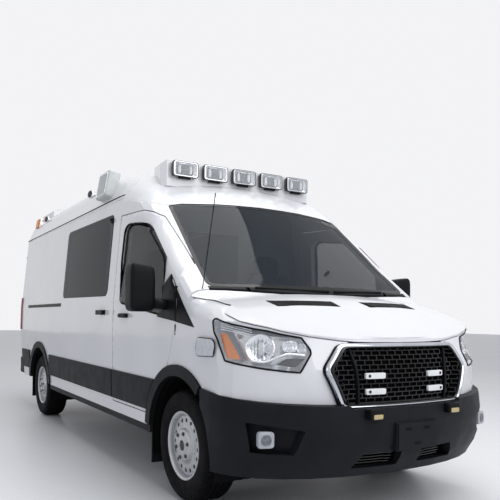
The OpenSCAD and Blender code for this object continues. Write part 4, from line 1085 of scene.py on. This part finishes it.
STRIP = np.array([[0.0, -0.0028], [0.0, 0.0028], [-0.02, 0.0020], [-0.02, -0.0020]])
levels = np.arange(GRILLE_LOW, GRILLE_TOP + ROW, ROW)
strips = [carry(grille_front(np.linspace(-1, 1, 40) * grille_reach(z), z), STRIP, X_AXIS) for z in levels]
uprights = []
for row, z in enumerate(levels[:-1]):
    spots = (np.arange(-10, 11) + 0.5 * (row % 2)) * BRICK
    spots = spots[np.abs(spots) < grille_reach(z + ROW / 2) - 0.01]
    uprights += [carry(grille_front(y, np.array([z, z + ROW / 2, z + ROW])), STRIP, X_AXIS) for y in spots]
add_piece("grille_mesh", join(strips + uprights), gloss_black, instead_of=["grille"])
ribs = []
for side in SIDES:
    z = np.linspace(GRILLE_LOW - 0.008, GRILLE_TOP + 0.008, 24)
    y = side * np.interp(z, [0.70, 0.90, 1.03], [0.346, 0.358, 0.384])
    profile = np.array([[0.012, -0.007], [0.012, 0.007], [-0.018, 0.012], [-0.018, -0.012]])
    ribs.append(carry(grille_front(y, z), profile, X_AXIS))
add_piece("grille_ribs", join(ribs), black, bevel=0.002)
v = np.linspace(GRILLE_LOW - 0.02, GRILLE_TOP + 0.02, 16)[:, None]
u = np.linspace(-1, 1, 24)[None, :]
add_piece("grille_back", shell(grille_front(u * grille_reach(v), v + 0 * u, 0.034)), rubber)
print("bricks:", len(uprights), "strips:", len(strips))

# %% [markdown]
# The frame is a bright plated ring. Its face leans like a picture frame, so a bevelled profile is
# carried round an outline with six slightly rounded corners, a little wider than the opening, on the
# fitted surface of the nose. Four small lamp bars are set into the mesh.

# %% The plated frame and the lamp bars
frame_corners = np.array([[-0.443, 1.030], [0.443, 1.030], [0.549, 0.900], [0.458, 0.694], [-0.458, 0.694],
                          [-0.549, 0.900]])
FRAME_MIDDLE = np.array([0.0, 0.87])


def nose_ring(grow, profile, lift):
    """A profile carried round the frame's outline, grown about its middle, on the nose's surface."""
    line = along(rounded((frame_corners - FRAME_MIDDLE) * grow + FRAME_MIDDLE, 0.03), 0.015, True)
    path = np.stack([grille_terms(line[:, 0], line[:, 1]) @ nose + lift, line[:, 0], line[:, 1]], 1)
    return carry(path, profile, X_AXIS, closed=True)


FRAME = np.array([[0.006, -0.014], [0.013, -0.010], [0.018, 0.001], [0.013, 0.012], [0.004, 0.015],
                  [-0.022, 0.015], [-0.022, -0.014]])
plated = finish("plated_frame", (206, 209, 215), (186, 190, 198), (0.10, 0.18), 8.0, Metallic=1.0,
                slot="chrome_trim")
add_piece("grille_frame", nose_ring(1.0, FRAME, 0.012), plated, instead_of=["grille_surround"],
          bevel=0.0015)
add_piece("grille_lip", nose_ring(0.958, round_profile(0.008) * [2.0, 1.0], 0.012), gloss_black)
add_piece("grille_gap", nose_ring(1.034, round_profile(0.005) * [1.6, 1.0], 0.004), black)
bars, dots = [], []
for side in SIDES:
    for z in (0.774, 0.862):
        a, b = grille_front(np.array([0.174, 0.306]) * side, np.array([z, z]), -0.012)
        bars.append(lying_pillow((a + b) / 2, b - a, X_AXIS, (0.010, 0.069, 0.0168), 0.22))
        dot_spot = b + (a - b) * 0.16 + 0.010 * X_AXIS
        dots.append(spin([[0.0085, -0.004], [0.0085, 0.0022], [0.004, 0.003]], dot_spot, X_AXIS, 20))
add_piece("lamp_bars", join(bars), white_led)
add_piece("lamp_bar_dots", join(dots), gloss_black)
print("bars:", len(bars))

# %% [markdown]
# Lamps on the bumper and the wings. The fog lamps are square: a pale lens in a frame, with a
# darker round disc on it. The small warning pods are black with a cream lens under a lid. The wing
# markers are flat pale lenses in a dark frame.

# %% Fog lamps, pods and wing markers
front_faces = triangles("front_lamps")
marker_lens = finish("marker_lens", (214, 217, 222), (198, 202, 209), (0.08, 0.16), 30.0, slot="lamp_lens")
fog_glass = finish("fog_glass", (182, 185, 190), (166, 169, 175), (0.10, 0.2), 40.0, Specular_IOR_Level=0.2,
                   slot="lamp_lens")
fog_disc = finish("fog_disc", (128, 132, 138), (98, 102, 108), (0.12, 0.25), 60.0, Specular_IOR_Level=0.2,
                  slot="chrome_trim")
pod_glass = lens("pod_glass", (196, 176, 128), 0.95, 0.4, 60.0)
FOG_LEAN, FOG_Y, FOG_Z, POD_Y, POD_Z = 0.28, 0.875, 0.5275, 0.307, 0.655
FOG_FRAME = np.array([[0.008, -0.004], [0.010, 0.0], [0.006, 0.005], [-0.02, 0.005], [-0.02, -0.004]])
FOG_DISC = [[0.030, 0.006], [0.029, 0.0135], [0.026, 0.0145], [0.023, 0.0125], [0.010, 0.0115]]
fog_faces = front_faces[front_faces[..., 2].max(1) < 0.60]
fogs, lenses, lids, pod_faces, frames = [], [], [], [], []
for side in SIDES:
    face = fog_faces[fog_faces[..., 1].mean(1) * side > 0]
    centre = np.array([face[..., 0].max(), side * FOG_Y, FOG_Z])
    out = np.array([1.0, side * FOG_LEAN, 0.0]) / np.hypot(1.0, FOG_LEAN)
    across = np.array([-side * FOG_LEAN, 1.0, 0.0]) / np.hypot(1.0, FOG_LEAN)
    seat = centre - 0.012 * out
    square = box_outline(-0.041, 0.041, -0.039, 0.039, 0.014)
    path = seat + square[:, :1] * across + square[:, 1:] * Z_AXIS
    frames.append(carry(along(path, 0.006, True), FOG_FRAME, out, closed=True))
    fogs.append(spin(FOG_DISC, seat, out))
    lenses.append(lying_pillow(seat + 0.006 * out, across, out, (0.005, 0.041, 0.039), 0.12))
    near = np.abs(front_faces[..., 1].mean(1) - side * POD_Y) < 0.05
    near &= front_faces[..., 2].mean(1) < 0.70
    pod = np.array([front_faces[near][..., 0].max(), side * POD_Y, POD_Z])
    lids.append(lying_pillow(pod - [0.016, 0.0, -0.006], Y_AXIS, X_AXIS, (0.028, 0.050, 0.030), 0.28))
    pod_faces.append(lying_pillow(pod + [0.006, 0.0, -0.006], Y_AXIS, X_AXIS, (0.009, 0.034, 0.013), 0.25))
add_piece("fog_frames", join(frames), fog_glass, slot="chrome_trim", instead_of=["front_lamps"])
add_piece("fog_dishes", join(fogs), fog_disc)
add_piece("fog_lenses", join(lenses), fog_glass)
add_piece("pod_housings", join(lids), black)
add_piece("pod_lenses", join(pod_faces), pod_glass)
marker_line = rounded([[0.268, 0.968], [0.300, 0.952], [0.486, 0.960], [0.500, 1.030], [0.470, 1.056],
                       [0.292, 1.060]], 0.014)
markers = [patch(marker_line, front_faces, 1, side, 0.001) for side in SIDES]
marker_seals = [bead(marker_line, front_faces, 1, side, 0.004, -0.003) for side in SIDES]
add_piece("wing_markers", join(markers), marker_lens)
add_piece("wing_marker_seals", join(marker_seals), black)
print("front lamps:", len(fogs) + len(lids) + len(markers))

# %% [markdown]
# The plate holder and the hood's front edge. The holder is a plain black pad with two slots above
# and one below, and no plate. The hood's front edge rolls over in one curve, so the roll is worked
# out again as a height over the distance behind the edge, and laid on the solid.

# %% The plate holder's face and the hood's rolled edge
HOLDER_X = 1.032
holder_face = lying_pillow(at(HOLDER_X, 0.0, 0.5245), Y_AXIS, X_AXIS, (0.005, 0.151, 0.075), 0.07)
add_piece("holder_face", holder_face, trim)
slots = [lying_pillow(at(HOLDER_X + 0.0045, y, z), Y_AXIS, X_AXIS, (0.002, 0.024, 0.0075), 0.15)
         for y, z in ((-0.072, 0.566), (0.072, 0.566), (0.0, 0.482))]
add_piece("holder_slots", join(slots), rubber)
y = np.linspace(-0.275, 0.275, 40)[None, :]
behind = np.linspace(0.016, 0.084, 16)[:, None] + 0 * y
middle = np.interp(behind, [0.0, 0.0287, 0.072, 0.091], [1.0655, 1.076, 1.105, 1.116])
outer = np.interp(behind, [0.0, 0.021, 0.034, 0.053, 0.064, 0.085],
                  [1.0645, 1.076, 1.085, 1.097, 1.1045, 1.116])
share = np.minimum((y / 0.25) ** 2, 1.0)
rolled = np.stack([AXLE + 0.901 - 0.21 * y ** 2 - behind, y + 0 * behind,
                   (1 - share) * middle + share * outer + 0.0008], -1)
add_piece("hood_roll", shell(rolled), paint, "hood")
print("holder slots:", len(slots), "rolled edge points:", rolled[..., 0].size)

# %% [markdown]
# Roof lamps. Five floodlights stand in front of the header. Each has a black housing with rounded
# corners, a bright bezel, a ribbed lens over a bright dish, and a foot below. Every part is the same
# rounded outline, scaled and moved forwards layer by layer; the five are copies set side by side.

# %% Floodlights on the header
roof_faces = triangles("roof_lights")
heads = roof_faces[roof_faces[..., 0].mean(1) > AXLE - 0.90]
HEAD_X, HEAD_Z = heads[..., 0].min(), (heads[..., 2].min() + heads[..., 2].max()) / 2
HEAD_H, HEAD_STEP = heads[..., 2].max() - heads[..., 2].min(), 0.277


def layers(outline, steps, centre, cap=True):
    """A flat outline in (y, z), scaled about its middle and moved along x at each step."""
    rows = [np.insert(outline * grow, 0, ahead, axis=1) for ahead, grow in steps]
    return shell(np.asarray(centre, float) + np.stack(rows), wrap_columns=True, cap=cap)


head_line = box_outline(-0.116, 0.116, -HEAD_H / 2, HEAD_H / 2, 0.024)
HOUSING = [(0.0, 0.80), (0.004, 0.92), (0.026, 0.985), (0.046, 1.0), (0.049, 0.99), (0.049, 0.90),
           (0.030, 0.88)]
BEZEL = [(0.040, 0.93), (0.050, 0.925), (0.053, 0.90), (0.053, 0.845), (0.042, 0.83)]
DISH = [(0.046, 0.84), (0.036, 0.78), (0.024, 0.55), (0.019, 0.10)]
COVER = [(0.046, 0.83), (0.049, 0.82), (0.051, 0.72), (0.052, 0.30)]
seats_of_heads = [np.array([HEAD_X, (k - 2) * HEAD_STEP, HEAD_Z]) for k in range(5)]
flood_lens = lens("flood_lens", (226, 230, 235), 0.22, 0.7, 26.0)
for name, steps, coat, ends in (("flood_housings", HOUSING, gloss_black, True),
                                ("flood_bezels", BEZEL, chrome, False), ("flood_dishes", DISH, bowl, False),
                                ("flood_covers", COVER, flood_lens, True)):
    add_piece(name, join([layers(head_line, steps, seat, ends) for seat in seats_of_heads]), coat,
              instead_of=["roof_lights"] if name == "flood_housings" else [])
bulbs = [pillow(seat + [0.034, dy, 0.0], (0.008, 0.012, 0.034), 0.5, 12, 20) for seat in seats_of_heads
         for dy in (-0.05, 0.05)]
add_piece("flood_bulbs", join(bulbs), white_led)
FOOT = np.array([[-0.014, -0.050], [0.014, -0.050], [0.014, 0.050], [-0.014, 0.050]])
drop = np.array([[0.022, 0.0, -HEAD_H / 2 + 0.004], [0.022, 0.0, -HEAD_H / 2 - 0.010]])
feet = [carry(seat + drop, FOOT, X_AXIS) for seat in seats_of_heads]
add_piece("flood_feet", join(feet), black)
print("floodlights at height", round(HEAD_Z, 3), "count", len(seats_of_heads))

# %% [markdown]
# On each side of the roof stand a scene light in a pale box behind the front door, two chrome bullet
# lamps and an amber lamp at the rear corner. The solids mark their places. The box is a pillow with
# nearly square edges that stands almost upright, its lens sits in a bright frame, and the bullets are
# spun.

# %% Lamps along the roof
def solids_near(x, half, side):
    """Middle of the box round the roof lamp faces near a place on one side of the vehicle."""
    middle = roof_faces.mean(1)
    near = (np.abs(middle[:, 0] - AXLE - x) < half) & (middle[:, 1] * side > 0.5)
    points = roof_faces[near].reshape(-1, 3)
    return (points.min(0) + points.max(0)) / 2


scene_grey = finish("scene_grey", (204, 208, 207), (192, 197, 196), (0.3, 0.4), 12.0, slot="white_paint")
BULLET = [[0.016, -0.050], [0.034, -0.036], [0.044, -0.012], [0.047, 0.010], [0.045, 0.018], [0.039, 0.020]]
looks = {"scene_boxes": scene_grey, "scene_frames": chrome, "scene_lenses": ribbed_lens,
         "bullet_lamps": chrome, "bullet_lenses": gloss_black, "corner_lamps": amber_lens,
         "corner_frames": chrome}
made = {name: [] for name in looks}
for side in SIDES:
    out = np.array([0.0, side * 0.985, 0.17])
    rise = np.cross(out, [-side, 0.0, 0.0])
    centre = at(-1.675, side * 0.905, 2.345)
    made["scene_boxes"].append(lying_pillow(centre, X_AXIS, out, (0.056, 0.136, 0.118), 0.12))
    face = centre + 0.056 * out
    ring = box_outline(-0.112, 0.112, -0.096, 0.096, 0.02)
    path = face + ring[:, :1] * X_AXIS + ring[:, 1:] * rise
    made["scene_frames"].append(carry(along(path, 0.01, True), round_profile(0.0055), out, closed=True))
    made["scene_lenses"].append(lying_pillow(face - 0.003 * out, X_AXIS, out, (0.006, 0.106, 0.090), 0.2))
    for x in (-2.390, -4.180):
        spot = solids_near(x, 0.08, side)
        aim = np.array([0.30, side * 0.90, 0.10])
        made["bullet_lamps"].append(spin(BULLET, spot, aim, 40))
        made["bullet_lenses"].append(spin([[0.039, 0.016], [0.034, 0.024], [0.018, 0.029]], spot, aim, 32))
    spot = solids_near(-4.570, 0.12, side)
    made["corner_lamps"].append(lying_pillow(spot, X_AXIS, out, (0.026, 0.074, 0.062), 0.25))
    made["corner_frames"].append(lying_pillow(spot - 0.012 * out, X_AXIS, out, (0.022, 0.086, 0.074), 0.2))
for name, shells in made.items():
    add_piece(name, join(shells), looks[name], slot="lamp_lens" if name == "bullet_lenses" else None)
print("lamps along the roof:", {k: len(v) for k, v in made.items()})

# %% [markdown]
# Mirrors. The large heads are black mouldings with soft corners, a glass on the back and a stout arm
# from the corner of the door. A black corner panel fills the angle below the windscreen pillar. The
# shut line of the door splits it, so that one part swings with the door and the tip stays on the wing.

# %% Mirrors and corner panels
mirror_glass = finish("mirror_glass", (206, 212, 218), (196, 203, 210), (0.02, 0.04), 3.0, Metallic=1.0,
                      slot="chrome_trim")
door_corner = rounded([[-0.245, 1.400], [-0.140, 1.468], [-0.0335, 1.372], [-0.0295, 1.300],
                       [-0.026, 1.225], [-0.0225, 1.150], [-0.325, 1.182], [-0.300, 1.208],
                       [-0.252, 1.214]], 0.004)
wing_corner = rounded([[-0.026, 1.356], [0.228, 1.118], [-0.019, 1.148]], 0.004)
MIRROR_HALF, ARM_HALF, CORD = (0.068, 0.088, 0.156), [0.036, 0.030], [0.005, 0.006]
GLASS_STEPS = [(0.0, 1.0), (-0.003, 0.985), (-0.004, 0.5)]
for side, name in HANDS:
    door, head = "door_" + name, at(-0.232, side * 1.182, 1.370)
    door_faces = triangles("front_door_" + name, "front_glass_" + name)
    points, faces = pillow(head, MIRROR_HALF, 0.3, 32, 56)
    points[:, 2] += 0.012 * side * (points[:, 1] - head[1]) / MIRROR_HALF[1] * (points[:, 2] > head[2])
    add_piece("mirror_head_" + name, (points, faces), black, door, instead_of=["mirror_" + name])
    root = lay(np.array([[-0.185, 1.262]]), door_faces, 1, side)[0]
    arm = np.array([root, root + np.array([0.0, side * 0.05, 0.004]),
                    head + np.array([0.0, -side * 0.070, -0.094])])
    arm = carry(along(arm, 0.02), round_profile(1.0, 20) * ARM_HALF, Z_AXIS)
    add_piece("mirror_arm_" + name, arm, black, door)
    face = layers(box_outline(-0.070, 0.070, -0.130, 0.130, 0.04), GLASS_STEPS, head - 0.0655 * X_AXIS)
    add_piece("mirror_glass_" + name, face, mirror_glass, door)
    add_piece("door_corner_" + name, patch(door_corner, door_faces, 1, side, 0.006, 0.004), black, door)
    tip = patch(wing_corner, triangles("wings", "side_" + name), 1, side, 0.004, 0.004)
    add_piece("wing_corner_" + name, tip, black)
    gap = np.stack([np.full(24, -0.038), np.linspace(1.150, 1.372, 24)], 1)
    gap = lay(gap, door_faces, 1, side, -0.004) + [0.008, 0.0, 0.0]
    cord = carry(gap, round_profile(1.0, 10) * CORD, (0.0, side, 0.0))
    add_piece("corner_seal_" + name, cord, rubber)

# %% [markdown]
# Seals and seams. A rubber cord fills the gap round each door pane. Its path is laid on the door, and
# a running median evens it out where the pane lies deeper than the frame. The raised roof is bonded
# on a flange that shows as a dark line above the doors. The pane of the sliding door is bonded on the
# outside and covers nearly the whole width of the door.

# %% Seals, seam and the bonded side pane
door_line = rounded([[-0.245, 1.192], [-0.245, 1.588], [-0.525, 1.818], [-0.610, 1.866], [-0.985, 1.912],
                     [-1.060, 1.880], [-1.082, 1.320], [-1.060, 1.292], [-0.455, 1.215]], 0.05)
for side, name in HANDS:
    seal = bead(door_line, triangles("front_door_" + name), 1, side, 0.008, -0.003, 0.015, 25)
    add_piece("door_seal_" + name, seal, rubber, "door_" + name)
tinted_pane = finish("tinted_pane", (30, 35, 42), (14, 17, 23), (0.03, 0.06), 1.2, Specular_IOR_Level=0.05,
                     slot="dark_glass")
slide_line = rounded([[-1.372, 1.352], [-1.372, 2.052], [-2.768, 2.060], [-2.768, 1.366]], 0.07)
slide_faces = triangles("sliding_door", "sliding_glass")
add_piece("slide_pane", patch(slide_line, slide_faces, 1, -1.0, 0.0015, 0.003, 24), tinted_pane,
          instead_of=["sliding_glass"])
SEAM_Z = 2.185
seam = np.stack([np.linspace(-4.78, -1.19, 120), np.full(120, SEAM_Z)], 1)
seam_faces = triangles("roof", "side_left", "side_right", "sliding_door")
seams = [carry(lay(seam, seam_faces, 1, side, 0.0006), round_profile(0.0045, 8), (0.0, side, 0.0))
         for side in SIDES]
add_piece("roof_seams", join(seams), rubber)
print("seals and seams:", len(HANDS), len(seams))

# %% [markdown]
# Vents and the lower intake. Two long vents lie across the hood near the windscreen, each a black
# insert with slats. Behind the low openings of the bumper sits a dark mesh that hides the radiator.
# Its surface repeats the outline of the bumper just above, moved back as the bumper recedes below.

# %% Hood vents and the intake mesh
hood_faces = triangles("hood", "hood_fittings")
inserts, slats, SLAT = [], [], [0.0022, 0.0065]
for side in SIDES:
    corners = np.array([[0.372, 0.600], [0.488, 0.586], [0.524, 0.122], [0.424, 0.116]]) * [1.0, side]
    inserts.append(patch(rounded(corners, 0.008), hood_faces, 2, 1.0, 0.0015, 0.003, 12))
    for t in np.linspace(0.18, 0.82, 4):
        ends = np.array([corners[0] * (1 - t) + corners[1] * t, corners[3] * (1 - t) + corners[2] * t])
        ends += (ends[::-1] - ends) * 0.04
        line = lay(along(ends, 0.02), hood_faces, 2, 1.0, 0.002)
        slats.append(carry(line, round_profile(1.0, 8) * SLAT, Z_AXIS))
add_piece("vent_inserts", join(inserts), rubber, "hood")
add_piece("vent_slats", join(slats), gloss_black, "hood")
bumper_faces = triangles("front_bumper")
LEVEL, INTAKE_BAR = 0.47, np.array([[0.006, -0.002], [0.006, 0.002], [-0.016, 0.002], [-0.016, -0.002]])
RECEDE_Z, RECEDE_X = [0.30, 0.33, 0.40, 0.48, 0.60], [0.110, 0.092, 0.046, 0.016, 0.008]


def intake_back(y, z, deep):
    """A place behind the bumper: its front at one level, moved back as it recedes below, and deeper."""
    y, z = np.broadcast_arrays(np.asarray(y, float), np.asarray(z, float))
    level = np.stack([np.zeros(y.size), y.ravel(), np.full(y.size, LEVEL)], 1)
    front = touch(level, bumper_faces, 0, 1.0).reshape(y.shape)
    return np.stack([front + 0.018 - np.interp(z, RECEDE_Z, RECEDE_X) - deep, y, z], -1)


spread = np.linspace(-0.46, 0.46, 60)
back = shell(intake_back(spread[None, :], np.linspace(0.335, 0.462, 8)[:, None], 0.075))
bars = [carry(intake_back(spread, z, 0.055), INTAKE_BAR, X_AXIS) for z in np.arange(0.352, 0.452, 0.018)]
add_piece("intake_back", back, rubber)
add_piece("intake_bars", join(bars), gloss_black)
print("vent slats:", len(slats), "intake bars:", len(bars))

# %% [markdown]
# Wheel arch liners keep spray off the body. Each is a part of a cylinder inside the arch, with ribs
# pressed round it, and stays dark behind the tyre.

# %% Arch liners
LINER_R = 0.446
liners = []
for x, y in WHEELS.values():
    turn = np.radians(np.linspace(-18.0, 198.0, 72))[:, None]
    reach = np.linspace(0.600, 0.985, 40)[None, :]
    radius = LINER_R - 0.003 * (np.cos(reach * 2 * np.pi / 0.055) > 0.3) + 0 * turn
    across = math.copysign(1.0, y) * reach + 0 * turn
    liners.append(shell(np.stack([x + radius * np.cos(turn), across, WHEEL_Z + radius * np.sin(turn)], -1)))
add_piece("arch_liners", join(liners), rubber)
print("liners:", len(liners))

# %% [markdown]
# The rear doors carry an upright pull handle beside the split and a bare pad for a plate. Both are
# soft-edged mouldings, so they are pillows set on the door's own surface.

# %% The rear handle and plate pad
rear_table = (("rear_handle", -1.0, [0.075, 1.03], (0.020, 0.090, 0.019), black, Z_AXIS),
              ("rear_plate_pad", 1.0, [0.330, 0.93], (0.009, 0.165, 0.085), trim, Y_AXIS))
for name, side, place, half, coat, wide in rear_table:
    door = "right" if side < 0 else "left"
    seat = lay(np.array([[side * place[0], place[1]]]), triangles("rear_door_" + door), 0, -1.0, 0.004)[0]
    add_piece(name, lying_pillow(seat, wide, -X_AXIS, half, 0.14), coat, "rear_" + door + "_door",
              "dark_plastic")
    print(name, "on", door, np.round(seat, 3))

# %% [markdown]
# Seats. Foam under cloth gives a crowned pad whose sides pull in, with sewn channels along the bolsters
# and across the middle. Each pad is a pillow in its own axes: out of the pad, across the seat and up the
# pad. Channels lower the surface along lines, and the side that rests on the frame is kept flat.

# %% Padded seats
def upholstered(centre, out, up, half, channel, flat=0.75):
    """A pillow whose face sinks along two bolster seams and at even steps up the pad."""
    points, faces = pillow((0.0, 0.0, 0.0), half, 0.42, 56, 96)
    across, height = np.abs(points[:, 1]), points[:, 2]
    seam = np.exp(-((across - 0.64 * half[1]) / 0.010) ** 2)
    step = (across < 0.64 * half[1]) * np.exp(-(np.sin(np.pi * height / channel) / 0.22) ** 2)
    points[:, 0] -= (points[:, 0] > 0.3 * half[0]) * 0.007 * np.maximum(seam, 0.7 * step)
    points[:, 0] = np.maximum(points[:, 0], -flat * half[0])
    out, up = np.asarray(out, float), np.asarray(up, float)
    return np.asarray(centre) + points @ np.stack([out, np.cross(up, out), up]), faces


LEAN_BACK, SEAT_Y = math.radians(14.0), 0.515
CUSHION, BACK, REST = (0.064, 0.256, 0.266), (0.074, 0.250, 0.334), (0.050, 0.134, 0.098)
pad_up = np.array([-math.sin(LEAN_BACK), 0.0, math.cos(LEAN_BACK)])
pad_out = np.array([math.cos(LEAN_BACK), 0.0, math.sin(LEAN_BACK)])
cushions, backs, rests, posts, bases = [], [], [], [], []
for side in SIDES:
    hip = at(-1.020, side * SEAT_Y, 0.980)
    cushions.append(upholstered(at(-0.790, side * SEAT_Y, 0.922), Z_AXIS, X_AXIS, CUSHION, 0.105))
    backs.append(upholstered(hip - 0.064 * pad_out + 0.308 * pad_up, pad_out, pad_up, BACK, 0.115))
    rests.append(upholstered(hip - 0.066 * pad_out + 0.722 * pad_up, pad_out, pad_up, REST, 0.2))
    for y in (-0.055, 0.055):
        foot = hip - 0.066 * pad_out + np.array([0.0, y, 0.0])
        posts.append(carry([foot + 0.60 * pad_up, foot + 0.66 * pad_up], round_profile(0.007, 12), X_AXIS))
    bases.append(pillow(at(-0.790, side * SEAT_Y, 0.760), (0.228, 0.243, 0.109), 0.14))
for name, shells in (("seat_cushions", cushions), ("seat_backs", backs), ("head_rests", rests)):
    pad = add_piece(name, join(shells), cloth, instead_of=["seats"] if name == "seat_cushions" else [])
add_piece("head_rest_posts", join(posts), chrome)
add_piece("seat_bases", join(bases), black)
print("seat pads:", len(cushions) + len(backs) + len(rests))
